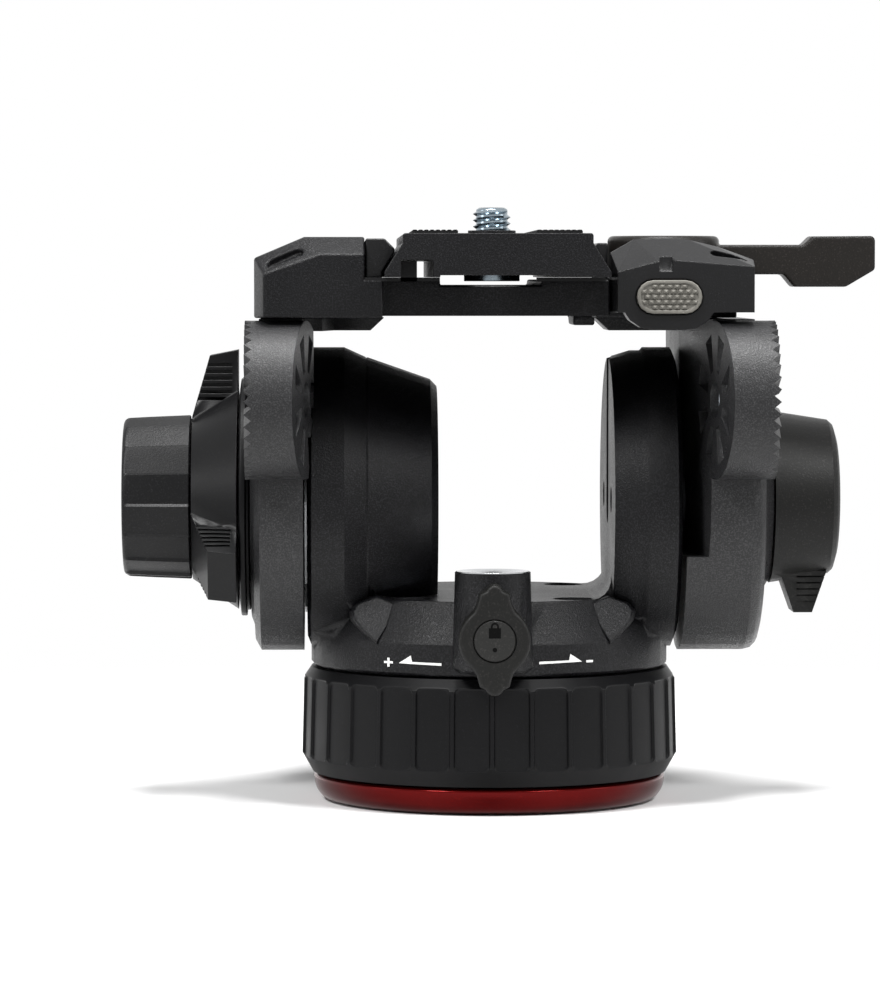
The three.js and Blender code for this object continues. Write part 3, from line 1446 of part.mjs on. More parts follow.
function makePlatform(cradle) {
  const leftBlock = hull([
    ...leftBlockPoints(platformFront, true),
    ...leftBlockPoints(platformFront + chamferDepth, false),
    ...leftBlockPoints(platformRear - chamferDepth, false),
    ...leftBlockPoints(platformRear, true),
  ]);
  const shelf = block(
    [blockRight - cutOverrun, channelShelfX],
    [platformFront, platformRear],
    [platformBottom, channelFloor],
  );
  const channel = block(
    [blockRight - cutOverrun, channelRight],
    [channelFront, platformRear],
    [channelUnderside, channelFloor],
  );
  const sideFront = housingRear + runningGap;
  const rightFoot = block(
    [channelRight - cutOverrun, rightBaseInner + cutOverrun],
    [sideFront, platformRear],
    [platformBottom, channelFloor],
  );
  const belly = block(
    [bellyLeft, bellyRight],
    [-bellyHalfLength, bellyHalfLength],
    [bellyBottom, channelUnderside + cutOverrun],
  );
  const rightBase = prism(
    "Z",
    rounded([
      [rightBaseInner, sideFront],
      [rightBaseOuter + blockSideBevel, sideFront],
      [rightBaseOuter, sideFront + chamferDepth],
      [rightBaseOuter, platformRear, blockSideBevel],
      [rightBaseInner, platformRear],
    ]),
    platformBottom,
    rightBaseTop,
  );
  const groove = block(
    [grooveLeft, grooveRight],
    [channelFront - cutOverrun, platformRear + cutOverrun],
    [grooveFloor, channelFloor + cutOverrun],
  );
  const mouth = ovalMouth(leftMouth, leftMouthNormalShares);
  const camPocket = rod("Z", camPocketRadius, rightBaseTop - camPocketDepth,
    rightBaseTop + cutOverrun, mediumFacets, [leverX, leverY, 0]);
  const tonguePocket = block(
    [jawPocketLeft, leverX],
    [leverY - jawTongueHalfWidth - runningGap, leverY + jawTongueHalfWidth + runningGap],
    [jawTongueTop - jawTongueThickness - runningGap, rightBaseTop + cutOverrun],
  );
  const platform = cut(
    join(leftBlock, shelf, channel, rightBase, rightFoot, belly), groove, mouth, camPocket,
    tonguePocket,
  );
  addPiece(cradle, "platform_body", platform, "powderCoat");

  // Fixed jaw: its undercut runs parallel to the plate's sloping side
  const slopeShare = plateDovetail / (plateShoulderRise - plateFoot);
  const undercutX = (height) =>
    plateTopHalfWidth + (plateShoulder - height) * slopeShare + jawSideGap;
  const jawBottom = channelFloor + runningGap;
  const fixedJaw = prism(
    "Y",
    [
      [blockRight + runningGap, jawBottom],
      [-undercutX(plateBottom + plateFoot), jawBottom],
      [-undercutX(plateBottom + plateFoot), plateBottom + plateFoot],
      [-undercutX(jawNoseHeight), jawNoseHeight],
      [-undercutX(jawNoseHeight), jawTop - jawTopChamfer],
      [-undercutX(jawNoseHeight) - jawTopChamfer, jawTop],
      [blockRight + runningGap, jawTop],
    ],
    -jawHalfLength,
    jawHalfLength,
  );
  addPiece(cradle, "fixed_jaw", fixedJaw, "glossBlack");
  makeHousing(cradle);
  makeLever(cradle, undercutX);
}

// Housing at the right front: a raised ridge falls to the front face, with a hump below the button
function makeHousing(cradle) {
  const row = (shares, y) =>
    shares.map(([across, up]) => [
      housingLeft + across * housingWidth, y, housingBottom + up * (housingTop - housingBottom),
    ]);
  const footOf = (points) =>
    [points[0], points.at(-1)].map(([x, y]) => [x, y, housingBottom]);
  const rows = [
    row(frontEdgeShares, housingFront),
    row(ridgeShares, housingRidgeY),
    row(ridgeShares, housingRear),
  ];
  const shell = hull([...rows.flat(), ...footOf(rows[0]), ...footOf(rows[2])]);
  const hump = prism(
    "Y",
    stadium([buttonX, buttonHeight], humpHalfLength, humpHalfHeight, 8),
    housingFront,
    humpRear,
  );
  const notch = block(
    [notchLeft, notchRight],
    [housingFront - cutOverrun, housingFront + notchDepth],
    [housingTop - notchDrop, housingTop],
  );
  const buttonRoom = prism(
    "Y",
    stadium([buttonX, buttonHeight], buttonHalfLength + runningGap,
      buttonHalfHeight + runningGap),
    housingFront - cutOverrun,
    housingFront - buttonProud + buttonDepth + buttonTravel + runningGap,
  );
  const catchBore = rod("Y", catchRadius + catchSpringRoom, housingFront,
    housingRear + cutOverrun, smallFacets, [buttonX, 0, buttonHeight]);
  const mouth = ovalMouth(rightMouth, rightMouthNormalShares);
  addPiece(cradle, "release_housing",
    cut(join(shell, hump), notch, buttonRoom, catchBore, mouth), "glossBlack");

  const buttonFront = housingFront - buttonProud;
  const buttonBack = buttonFront + buttonDepth;
  const button = body(cradle);
  const cap = cut(
    prism("Y", stadium([buttonX, buttonHeight], buttonHalfLength, buttonHalfHeight), buttonFront,
      buttonBack),
    prism("Y", stadium([buttonX, buttonHeight], buttonHalfLength - buttonRim,
      buttonHalfHeight - buttonRim), buttonFront - cutOverrun, buttonFront + buttonRimHeight),
  );
  addPiece(button, "release_button", cap, "buttonGrey");
  const pin = rod("Y", catchRadius, buttonBack + runningGap, buttonBack + catchLength, smallFacets,
    [buttonX, 0, buttonHeight]);
  addPiece(button, "release_catch_pin", pin, "steel");
}

function makeLever(cradle, undercutX) {
  const jawBottom = channelFloor + runningGap;
  const jaw = join(
    prism(
      "Y",
      [
        [undercutX(plateBottom + plateFoot), jawBottom],
        [movingJawBack, jawBottom],
        [movingJawBack, movingJawTop],
        [undercutX(jawNoseHeight) + jawTopChamfer / 2, movingJawTop],
        [undercutX(jawNoseHeight), jawNoseHeight + jawSideGap],
        [undercutX(jawNoseHeight), jawNoseHeight],
        [undercutX(plateBottom + plateFoot), plateBottom + plateFoot],
      ],
      movingJawFront,
      movingJawRear,
    ),
    block(
      [undercutX(plateBottom + plateFoot), jawTongueEnd],
      [leverY - jawTongueHalfWidth, leverY + jawTongueHalfWidth],
      [jawTongueTop - jawTongueThickness, jawTongueTop],
    ),
  );
  addPiece(body(cradle), "moving_jaw", jaw, "glossBlack");

  const hub = revolve("Z", [
    [0, leverBottom],
    [leverHubRadius, leverBottom],
    [leverHubRadius, leverHubTop - leverHubChamfer],
    [leverHubRadius - leverHubChamfer, leverHubTop],
    [0, leverHubTop],
  ], mediumFacets, [leverX, leverY, 0]);
  const handle = prism(
    "Y",
    rounded([
      [leverX, leverBottom],
      [leverNeckEnd, leverBottom],
      [leverHandleStart, leverHandleBottom],
      [leverFacetStart, leverHandleBottom],
      [leverHandleEnd, leverFacetTop, leverTipRound],
      [leverHandleEnd, leverHubTop, leverTipRound],
      [leverRiseEnd, leverHubTop],
      [leverRiseStart, leverArmTop],
      [leverX, leverArmTop],
    ], 3),
    leverY - leverArmHalfWidth,
    leverY + leverArmHalfWidth,
  );
  const cam = rod("Z", camRadius, leverBottom - camLength, leverBottom, smallFacets, [
    leverX - camOffset, leverY, 0,
  ]);
  addPiece(body(cradle), "plate_lever", join(hub, handle, cam), "leverPlastic");
}

// Camera plate with its dovetail sides, a slot for the screw and two rubber pads
function makePlate() {
  const group = body();
  const outline = rounded([
    [-plateHalfWidth, plateBottom],
    [plateHalfWidth, plateBottom],
    [plateHalfWidth, plateBottom + plateFoot],
    [plateTopHalfWidth, plateShoulder],
    [plateTopHalfWidth, plateTop, plateEdgeRound],
    [-plateTopHalfWidth, plateTop, plateEdgeRound],
    [-plateTopHalfWidth, plateShoulder],
    [-plateHalfWidth, plateBottom + plateFoot],
  ], 3);
  const bar = prism("Y", outline, -plateHalfLength, plateHalfLength);
  const past = plateHalfLength + cutOverrun;
  const groove = block([plateGrooveLeft, plateGrooveRight], [-past, past],
    [plateBottom - cutOverrun, plateBottom + plateGrooveDepth]);
  const relief = block([-plateReliefHalfWidth, plateReliefHalfWidth], [-past, past],
    [plateBottom - cutOverrun, plateBottom + plateReliefDepth]);
  const slotAt = (halfWidth, bottom, top) =>
    prism("Z", stadium([(plateSlotFront + plateSlotRear) / 2, 0],
      (plateSlotRear - plateSlotFront) / 2 + halfWidth, halfWidth).map(([along, across]) =>
      [across, along]), bottom, top);
  const slot = slotAt(plateSlotHalfWidth, plateBottom - cutOverrun, plateTop + cutOverrun);
  const headSlot = slotAt(plateSlotHeadHalfWidth, plateBottom - cutOverrun,
    plateBottom + plateSlotHeadDepth);
  const padSeats = [-1, 1].map((side) =>
    block(
      [padInnerX - runningGap, padOuterX + runningGap].map((x) => side * x).sort((a, b) => a - b),
      [padFront - runningGap, padRear + runningGap],
      [plateTop - padSeatDepth, plateTop + cutOverrun],
    ),
  );
  addPiece(group, "camera_plate", cut(bar, groove, relief, slot, headSlot, padSeats), "powderCoat");
  for (const [side, name] of [[-1, "left"], [1, "right"]]) {
    const pad = block(
      [padInnerX, padOuterX].map((x) => side * x).sort((a, b) => a - b),
      [padFront, padRear],
      [plateTop - padSeatDepth + runningGap, plateTop + padHeight],
    );
    addPiece(group, `plate_pad_${name}`, pad, "rubber");
  }

  const carrier = body(group);
  const centre = [0, screwY, 0];
  const collar = tube("Z", screwRadius + runningGap, collarRadius, plateTop + runningGap,
    plateTop + runningGap + collarHeight, mediumFacets, centre);
  addPiece(carrier, "screw_collar", collar, "powderCoat");
  const headTop = screwHeadBottom + screwHeadHeight;
  const screw = cut(
    join(
      rod("Z", screwRadius, screwHeadBottom, screwTop, smallFacets * 2, centre),
      rod("Z", screwHeadRadius, screwHeadBottom, headTop, mediumFacets, centre),
    ),
    block(
      [-screwHeadRadius - cutOverrun, screwHeadRadius + cutOverrun],
      [screwY - screwSlotWidth / 2, screwY + screwSlotWidth / 2],
      [screwHeadBottom - cutOverrun, screwHeadBottom + screwSlotDepth],
    ),
  );
  addPiece(body(carrier), "camera_screw", screw, "steel");
}

// Counterbalance dial: a flared ring with three ribbed wings
function makeDial() {
  const flare = aboutTilt([
    [axleRadius + runningGap, dialOuter],
    [dialOuterRadius, dialOuter],
    [dialInnerRadius, dialInner],
    [axleRadius + runningGap, dialInner],
  ]);
  const wingPoints = [];
  for (const side of [-1, 1]) {
    wingPoints.push(
      [dialOuter, side * wingHalfWidth, 0],
      [dialInner, side * wingHalfWidth, 0],
      [dialOuter, side * wingHalfWidth, dialOuterRadius - runningGap],
      [wingOuterX, side * wingTipHalfWidth, wingOuterReach],
      [dialInner, side * wingTipHalfWidth, wingReach],
    );
  }
  const paddle = hull(wingPoints);
  const ribs = [-1, 1].flatMap((side) =>
    Array.from({ length: wingRibCount }, (_, i) => {
      const reach = wingRibFirst + i * wingRibPitch;
      const flank = [side * (wingTipHalfWidth - wingRibDepth), side * (wingHalfWidth + cutOverrun)];
      return block(
        [wingRibStart, wingRibEnd],
        flank.sort((a, b) => a - b),
        [reach, reach + wingRibWidth],
      );
    }),
  );
  const core = rod("X", dialOuterRadius - cutOverrun, dialOuter - cutOverrun,
    dialInner + cutOverrun);
  const wing = cut(paddle, ribs, core).translate(tiltCentre);
  const wings = Array.from({ length: wingCount }, (_, i) =>
    turnedX(wing, (i * 360) / wingCount, 0, tiltAxisHeight),
  );
  addPiece(body(), "counterbalance_dial", join(flare, wings), "mouldedBlack");
}

// Drag knob: sixteen panels, each a step lower at one edge, on a plain core
function makeDragKnob() {
  const group = body();
  const panelEdgeShares = [0.11, 0.17];
  const loopAt = (radius, depth, x) =>
    Array.from({ length: dragKnobPanels }, (_, i) =>
      panelEdgeShares.map((share, k) => {
        const angle = ((i + share) / dragKnobPanels) * 2 * Math.PI;
        const reach = k === 0 ? radius : radius - depth;
        return [x, reach * Math.cos(angle), tiltAxisHeight + reach * Math.sin(angle)];
      }),
    ).flat();
  const bore = dragCoreRadius + runningGap;
  const grip = loft([
    loopAt(dragKnobInnerRadius, dragPanelDepth, dragKnobInner),
    loopAt(dragKnobOuterRadius, dragPanelDepth, dragKnobOuter + dragKnobRound),
    loopAt(dragKnobOuterRadius - dragKnobRound, 0, dragKnobOuter),
    loopAt(bore, 0, dragKnobOuter),
    loopAt(bore, 0, dragKnobInner),
  ], true);
  addPiece(group, "drag_knob_grip", grip, "rubber");
  const core = aboutTilt([
    [axleEndRadius + runningGap, dragKnobInner],
    [dragCoreRadius, dragKnobInner],
    [dragCoreRadius, dragKnobOuter + dragCoreRecess],
    [0, dragKnobOuter + dragCoreRecess],
    [0, dragKnobOuter + knobEndWall - runningGap],
    [axleEndRadius + runningGap, dragKnobOuter + knobEndWall - runningGap],
  ], mediumFacets);
  addPiece(group, "drag_knob_core", core, "mouldedBlack");
}

// Tilt lock knob: a domed cone with one ribbed tab hanging from it
function makeTiltLock() {
  const dome = arc([0, 0], 1, 0, 90, 3).map(([across, along]) => [
    lockKnobFaceRadius + across * (lockKnobOuterRadius - lockKnobFaceRadius),
    lockKnobConeX + along * (lockKnobOuter - lockKnobConeX),
  ]);
  const cone = aboutTilt([
    [0, lockKnobInner],
    [lockKnobInnerRadius, lockKnobInner],
    ...dome,
    [0, lockKnobOuter],
  ]);
  const tabPoints = [];
  for (const side of [-1, 1]) {
    tabPoints.push(
      [tabInnerX, side * tabHalfWidth, -lockKnobOuterRadius],
      [tabInnerX, side * tabHalfWidth, 0],
      [lockKnobConeX, side * tabHalfWidth, 0],
      [lockKnobConeX, side * tabHalfWidth, -lockKnobOuterRadius * tabTaperShare],
      [tabTipX, side * tabHalfWidth * tabTaperShare, -tabReach],
      [tabOuterTipX, side * tabHalfWidth * tabTaperShare, -tabReach],
    );
  }
  const ribs = Array.from({ length: tabRibCount }, (_, i) => {
    const reach = tabRibFirst + i * tabRibPitch;
    return block(
      [tabRibStart, tabRibEnd],
      [-tabHalfWidth - cutOverrun, -tabHalfWidth + wingRibDepth * 2],
      [-reach - wingRibWidth / 2, -reach],
    );
  });
  const tab = cut(hull(tabPoints), ribs).translate(tiltCentre);
  const axleRoom = aboutTilt([
    [0, lockKnobInner - cutOverrun],
    [axleEndRadius + runningGap, lockKnobInner - cutOverrun],
    [axleEndRadius + runningGap, lockKnobConeX - knobEndWall + runningGap],
    [0, lockKnobConeX - knobEndWall + runningGap],
  ], smallFacets);
  addPiece(body(), "tilt_lock_knob", cut(join(cone, tab), axleRoom), "mouldedGrey");
}

makeBase();
makeDragRing();
makeFrame();
makeCradle();
makePlate();
makeDial();
makeDragKnob();
makeTiltLock();

export default videoHead;
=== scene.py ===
import json
from math import atan2, cos, hypot, pi, radians, sin

import bmesh
import bpy
from mathutils import Matrix, Vector


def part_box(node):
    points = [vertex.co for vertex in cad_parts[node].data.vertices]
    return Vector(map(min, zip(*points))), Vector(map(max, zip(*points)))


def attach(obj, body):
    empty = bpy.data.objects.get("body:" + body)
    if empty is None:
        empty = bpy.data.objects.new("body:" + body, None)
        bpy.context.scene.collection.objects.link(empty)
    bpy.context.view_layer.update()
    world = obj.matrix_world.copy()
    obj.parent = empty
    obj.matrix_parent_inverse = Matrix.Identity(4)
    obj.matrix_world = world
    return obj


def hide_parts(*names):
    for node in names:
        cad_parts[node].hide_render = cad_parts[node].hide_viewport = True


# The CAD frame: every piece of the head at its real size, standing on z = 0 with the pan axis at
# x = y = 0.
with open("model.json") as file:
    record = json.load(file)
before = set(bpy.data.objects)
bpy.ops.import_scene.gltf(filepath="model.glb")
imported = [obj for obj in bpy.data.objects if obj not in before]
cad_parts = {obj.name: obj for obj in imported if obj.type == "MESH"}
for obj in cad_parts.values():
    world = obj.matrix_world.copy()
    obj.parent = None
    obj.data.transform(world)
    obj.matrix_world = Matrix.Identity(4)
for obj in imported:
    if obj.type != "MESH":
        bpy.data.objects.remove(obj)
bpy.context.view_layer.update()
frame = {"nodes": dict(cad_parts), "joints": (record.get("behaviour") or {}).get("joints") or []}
mm = 0.001
tilt_z = next(joint for joint in frame["joints"] if joint["name"] == "tilt")["pos_m"][2]

# The photographer's camera stands a long way back, a little left of the head and level with its
# plate, so the lens is long and nearly square on. Its aim sets the head's place in the picture.
camera_data = bpy.data.cameras.new("studio_camera")
camera_data.lens = 169.2
camera_data.sensor_width = 36
camera_data.clip_start = 0.05
camera_data.clip_end = 20
camera = bpy.data.objects.new("studio_camera", camera_data)
camera.location = (-36.8 * mm, -1198.5 * mm, 133.2 * mm)
camera_aim = Vector((95, 4700, -224))
camera.rotation_euler = camera_aim.to_track_quat("-Z", "Y").to_euler()
bpy.context.collection.objects.link(camera)
bpy.context.scene.camera = camera
bpy.context.scene.view_settings.view_transform = "Standard"

# A white cyclorama surrounds the head. The camera and mirror-like surfaces see it at full white,
# and it lights the dull ones much more softly.
def fill(node, values):
    """Sets a shader node's inputs, given by their names, to fixed values."""
    for name, value in values.items():
        node.inputs[name].default_value = value
    return node


sky_fill = 0.2
world = bpy.data.worlds.new("white_studio")
world.use_nodes = True
bpy.context.scene.world = world
sky = world.node_tree
sky_out = sky.nodes["World Output"]
sky_dim = fill(sky.nodes["Background"], {"Color": (1, 1, 1, 1), "Strength": sky_fill})
sky_white = fill(sky.nodes.new("ShaderNodeBackground"), {"Color": (1, 1, 1, 1)})
ray = sky.nodes.new("ShaderNodeLightPath")
sees_white = sky.nodes.new("ShaderNodeMath")
sees_white.operation = "MAXIMUM"
sees_more = sky.nodes.new("ShaderNodeMath")
sees_more.operation = "MAXIMUM"
sky_mix = sky.nodes.new("ShaderNodeMixShader")
sky.links.new(ray.outputs["Is Camera Ray"], sees_white.inputs[0])
sky.links.new(ray.outputs["Is Glossy Ray"], sees_white.inputs[1])
sky.links.new(sees_white.outputs[0], sees_more.inputs[0])
sky.links.new(ray.outputs["Is Transmission Ray"], sees_more.inputs[1])
sky.links.new(sees_more.outputs[0], sky_mix.inputs["Fac"])
sky.links.new(sky_dim.outputs[0], sky_mix.inputs[1])
sky.links.new(sky_white.outputs[0], sky_mix.inputs[2])
sky.links.new(sky_mix.outputs[0], sky_out.inputs["Surface"])

# Five soft boxes: a key high in front on each side, a low one beside each arm, and one overhead.
# Each is a square lamp that faces the tilt axis, given by its place, its side and its power.
for box_name, place, side, power in (
    ("left_key_softbox", (-0.6, -0.68, 0.85), 0.24, 12.0),
    ("right_key_softbox", (0.6, -0.68, 0.85), 0.24, 10.0),
    ("left_softbox", (-0.95, -0.25, 0.3), 0.3, 1.5),
    ("right_softbox", (0.95, -0.25, 0.35), 0.3, 2.0),
    ("top_softbox", (0.0, -0.2, 1.0), 0.4, 18.0),
):
    lamp = bpy.data.lights.new(box_name, "AREA")
    lamp.shape = "SQUARE"
    lamp.size = side
    lamp.energy = power
    softbox = bpy.data.objects.new(box_name, lamp)
    softbox.location = place
    to_head = Vector((0, 0, tilt_z)) - softbox.location
    softbox.rotation_euler = to_head.to_track_quat("-Z", "Y").to_euler()
    bpy.context.collection.objects.link(softbox)

# The floor is a round sheet of white card that fades into the cyclorama before its edge, so it
# shows only the head's soft shadow.
floor_radius, fade_start, fade_end = 0.45, 0.25, 0.95
floor_mesh = bmesh.new()
bmesh.ops.create_circle(floor_mesh, cap_ends=True, segments=96, radius=floor_radius)
floor_data = bpy.data.meshes.new("white_card")
floor_mesh.to_mesh(floor_data)
floor_mesh.free()
floor = bpy.data.objects.new("white_card", floor_data)
floor.location = (0, 0, -0.2 * mm)
bpy.context.collection.objects.link(floor)


def blank_material(name):
    """A new material, with its node tree and the shader that is in it from the start."""
    material = bpy.data.materials.new(name)
    material.use_nodes = True
    return material, material.node_tree, material.node_tree.nodes["Principled BSDF"]


card, card_tree, card_surface = blank_material("white_card")
fill(card_surface, {"Base Color": (0.8, 0.8, 0.8, 1), "Roughness": 0.9})
card_place = card_tree.nodes.new("ShaderNodeTexCoord")
card_reach = card_tree.nodes.new("ShaderNodeVectorMath")
card_reach.operation = "LENGTH"
card_fade = fill(card_tree.nodes.new("ShaderNodeMapRange"), {
    "From Min": floor_radius * fade_start, "From Max": floor_radius * fade_end,
    "To Min": 1, "To Max": 0,
})
card_fade.interpolation_type = "SMOOTHSTEP"
card_tree.links.new(card_place.outputs["Object"], card_reach.inputs[0])
card_tree.links.new(card_reach.outputs["Value"], card_fade.inputs["Value"])
card_tree.links.new(card_fade.outputs["Result"], card_surface.inputs["Alpha"])
floor_data.materials.append(card)


# Base disc: a turned aluminium foot, plain underneath, that the tripod's plate meets. Its faces
# keep the fine rings of the lathe tool, and the threaded steel bush sits in its middle.
def linear(*levels):
    """A colour given in the 0 to 255 levels of a screen, as the shader's linear values."""
    shares = [level / 255 for level in levels]
    return tuple(s / 12.92 if s < 0.04045 else ((s + 0.055) / 1.055) ** 2.4 for s in shares) + (1,)


def new_group(name, inputs, outputs, kind="Float"):
    """An empty shader node group with float inputs and their defaults, and outputs of one kind."""
    group = bpy.data.node_groups.new(name, "ShaderNodeTree")
    for socket, value in inputs.items():
        made = group.interface.new_socket(name=socket, in_out="INPUT", socket_type="NodeSocketFloat")
        made.default_value = value
    for socket in outputs:
        group.interface.new_socket(name=socket, in_out="OUTPUT", socket_type=f"NodeSocket{kind}")
    return group, group.nodes.new("NodeGroupInput"), group.nodes.new("NodeGroupOutput")


def lathe_rings():
    """Concentric tool marks: bands of noise that depend on the distance from the pan axis."""
    group, given, result = new_group("lathe_rings", {"Rings": 2500.0}, ["Marks"])
    place = group.nodes.new("ShaderNodeTexCoord")
    flat = group.nodes.new("ShaderNodeVectorMath")
    flat.operation = "MULTIPLY"
    flat.inputs[1].default_value = (1, 1, 0)
    reach = group.nodes.new("ShaderNodeVectorMath")
    reach.operation = "LENGTH"
    noise = fill(group.nodes.new("ShaderNodeTexNoise"), {"Detail": 3})
    noise.noise_dimensions = "1D"
    group.links.new(place.outputs["Object"], flat.inputs[0])
    group.links.new(flat.outputs["Vector"], reach.inputs[0])
    group.links.new(reach.outputs["Value"], noise.inputs["W"])
    group.links.new(given.outputs["Rings"], noise.inputs["Scale"])
    group.links.new(noise.outputs["Fac"], result.inputs["Marks"])
    return group


def coat_grain():
    """The grain of a sprayed or blasted surface: light specks, fine bumps and slow cloudiness."""
    group, given, result = new_group(
        "coat_grain", {"Scale": 2400.0, "Threshold": 0.58, "Softness": 0.14},
        ["Specks", "Bumps", "Clouds"],
    )
    place = group.nodes.new("ShaderNodeTexCoord")
    fine = fill(group.nodes.new("ShaderNodeTexNoise"), {"Detail": 2, "Roughness": 0.6})
    slow = fill(group.nodes.new("ShaderNodeTexNoise"), {"Scale": 45, "Detail": 3})
    reach = group.nodes.new("ShaderNodeMath")
    reach.operation = "ADD"
    lift = group.nodes.new("ShaderNodeMapRange")
    lift.interpolation_type = "SMOOTHSTEP"
    group.links.new(place.outputs["Object"], fine.inputs["Vector"])
    group.links.new(place.outputs["Object"], slow.inputs["Vector"])
    group.links.new(given.outputs["Scale"], fine.inputs["Scale"])
    group.links.new(given.outputs["Threshold"], reach.inputs[0])
    group.links.new(given.outputs["Softness"], reach.inputs[1])
    group.links.new(fine.outputs["Fac"], lift.inputs["Value"])
    group.links.new(given.outputs["Threshold"], lift.inputs["From Min"])
    group.links.new(reach.outputs[0], lift.inputs["From Max"])
    group.links.new(lift.outputs["Result"], result.inputs["Specks"])
    group.links.new(fine.outputs["Fac"], result.inputs["Bumps"])
    group.links.new(slow.outputs["Fac"], result.inputs["Clouds"])
    return group


def edge_rounding():
    """A normal that turns smoothly round each sharp edge, as if the edge had the given radius."""
    group, given, result = new_group("edge_rounding", {"Radius": 0.0}, ["Normal"], "Vector")
    bevel = group.nodes.new("ShaderNodeBevel")
    bevel.samples = 4
    group.links.new(given.outputs["Radius"], bevel.inputs["Radius"])
    group.links.new(bevel.outputs["Normal"], result.inputs["Normal"])
    return group


grain = coat_grain()
rings = lathe_rings()
rounding = edge_rounding()


def effect(tree, group, values):
    """Puts a shader node group to use in a material, with its inputs set to the values."""
    node = tree.nodes.new("ShaderNodeGroup")
    node.node_tree = group
    return fill(node, values)


def surface(
    name, dark, light, roughness, spread=0.05, scale=2400, threshold=0.58, softness=0.14,
    bump=0.02, metallic=0.0, specular=0.5, coat=0.0, coat_roughness=0.2, lathe=False, glint=0.0,
    edge=0.0,
):
    """A finish whose colour runs from dark to light with its specks or tool marks, whose
    roughness drifts by the spread and drops by the glint at each speck, whose bumps stand
    "bump" millimetres high, and whose sharp edges shade as if rounded over by "edge"."""
    material, tree, shader = blank_material(name)
    fill(shader, {
        "Metallic": metallic, "Specular IOR Level": specular, "Coat Weight": coat,
        "Coat Roughness": coat_roughness,
    })
    marks = effect(tree, grain, {"Scale": scale, "Threshold": threshold, "Softness": softness})
    tone = tree.nodes.new("ShaderNodeMix")
    tone.data_type = "RGBA"
    fill(tone, {"A": linear(*dark), "B": linear(*light)})
    drift = fill(tree.nodes.new("ShaderNodeMapRange"), {
        "From Min": 0.3, "From Max": 0.7, "To Min": roughness - spread,
        "To Max": roughness + spread,
    })
    relief = fill(tree.nodes.new("ShaderNodeBump"), {"Distance": bump * mm})
    if edge:
        rounded = effect(tree, rounding, {"Radius": edge * mm})
        tree.links.new(rounded.outputs["Normal"], relief.inputs["Normal"])
    gleam = tree.nodes.new("ShaderNodeMath")
    gleam.operation = "MULTIPLY_ADD"
    gleam.use_clamp = True
    gleam.inputs[1].default_value = -glint
    tree.links.new(marks.outputs["Clouds"], drift.inputs["Value"])
    tree.links.new(marks.outputs["Specks"], gleam.inputs[0])
    tree.links.new(drift.outputs["Result"], gleam.inputs[2])
    tree.links.new(gleam.outputs[0], shader.inputs["Roughness"])
    tree.links.new(tone.outputs["Result"], shader.inputs["Base Color"])
    tree.links.new(relief.outputs["Normal"], shader.inputs["Normal"])
    if lathe:
        turned_marks = effect(tree, rings, {"Rings": scale})
        tree.links.new(turned_marks.outputs["Marks"], tone.inputs["Factor"])
        tree.links.new(turned_marks.outputs["Marks"], relief.inputs["Height"])
    else:
        tree.links.new(marks.outputs["Specks"], tone.inputs["Factor"])
        tree.links.new(marks.outputs["Bumps"], relief.inputs["Height"])
    return material


def settle(name, bm, body, material, stands_for=(), crease=34):
    """Makes a finished bmesh a piece of the head: smooth between its creases, in its own finish,
    and riding on its body. It stands for the CAD pieces that it is named after."""
    mesh = bpy.data.meshes.new(name)
    bm.to_mesh(mesh)
    bm.free()
    mesh.polygons.foreach_set("use_smooth", [True] * len(mesh.polygons))
    mesh.set_sharp_from_angle(angle=radians(crease))
    mesh.materials.append(material)
    piece = bpy.data.objects.new(name, mesh)
    bpy.context.collection.objects.link(piece)
    even = piece.modifiers.new("even_shading", "WEIGHTED_NORMAL")
    even.keep_sharp = True
    even.weight = 60
    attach(piece, body)
    if stands_for:
        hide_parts(*stands_for)


def turned(profile, centre=(0, 0, 0), axis="Z", steps=144):
    """A turned shape: a wire of (radius, distance along the axis) in millimetres, spun once round.
    A profile that starts on the axis is left open there, and any other is closed first."""
    bm = bmesh.new()
    lift = {"X": (0, 0, 1), "Y": (0, 0, 1), "Z": (1, 0, 0)}[axis]
    along = {"X": (1, 0, 0), "Y": (0, 1, 0), "Z": (0, 0, 1)}[axis]
    verts = [
        bm.verts.new(Vector(centre) + Vector(lift) * r * mm + Vector(along) * h * mm)
        for r, h in profile
    ]
    wire = [bm.edges.new(pair) for pair in zip(verts, verts[1:])]
    if profile[0][0] > 0:
        wire.append(bm.edges.new((verts[-1], verts[0])))
    bmesh.ops.spin(
        bm, geom=verts + wire, cent=centre, axis=along, dvec=(0, 0, 0), angle=2 * pi,
        steps=steps, use_merge=True, use_duplicate=False,
    )
    bmesh.ops.remove_doubles(bm, verts=bm.verts, dist=0.001 * mm)
    bmesh.ops.recalc_face_normals(bm, faces=bm.faces)
    return bm


def round_over(bm, edges, width, segments=2, clamp=True):
    """Replaces edges by a narrow round of so many strips, a width in millimetres to each side."""
    bmesh.ops.bevel(
        bm, geom=edges, offset=width * mm, offset_type="OFFSET", segments=segments,
        profile=0.5, affect="EDGES", clamp_overlap=clamp, material=-1,
    )


def sharp_edges(bm, steepest=26):
    """The edges between two faces that turn by more than the steepest angle, in degrees."""
    return [
        e for e in bm.edges if e.is_manifold and e.calc_face_angle(0) > radians(steepest)
    ]


def ease_edges(bm, width, steepest=26):
    """Rounds over each edge that turns by more than the steepest angle."""
    round_over(bm, sharp_edges(bm, steepest), width)
    return bm


def wear(material, *nodes):
    """Gives CAD pieces that keep their own shape a finish."""
    for node in nodes:
        frame["nodes"][node].data.materials.clear()
        frame["nodes"][node].data.materials.append(material)


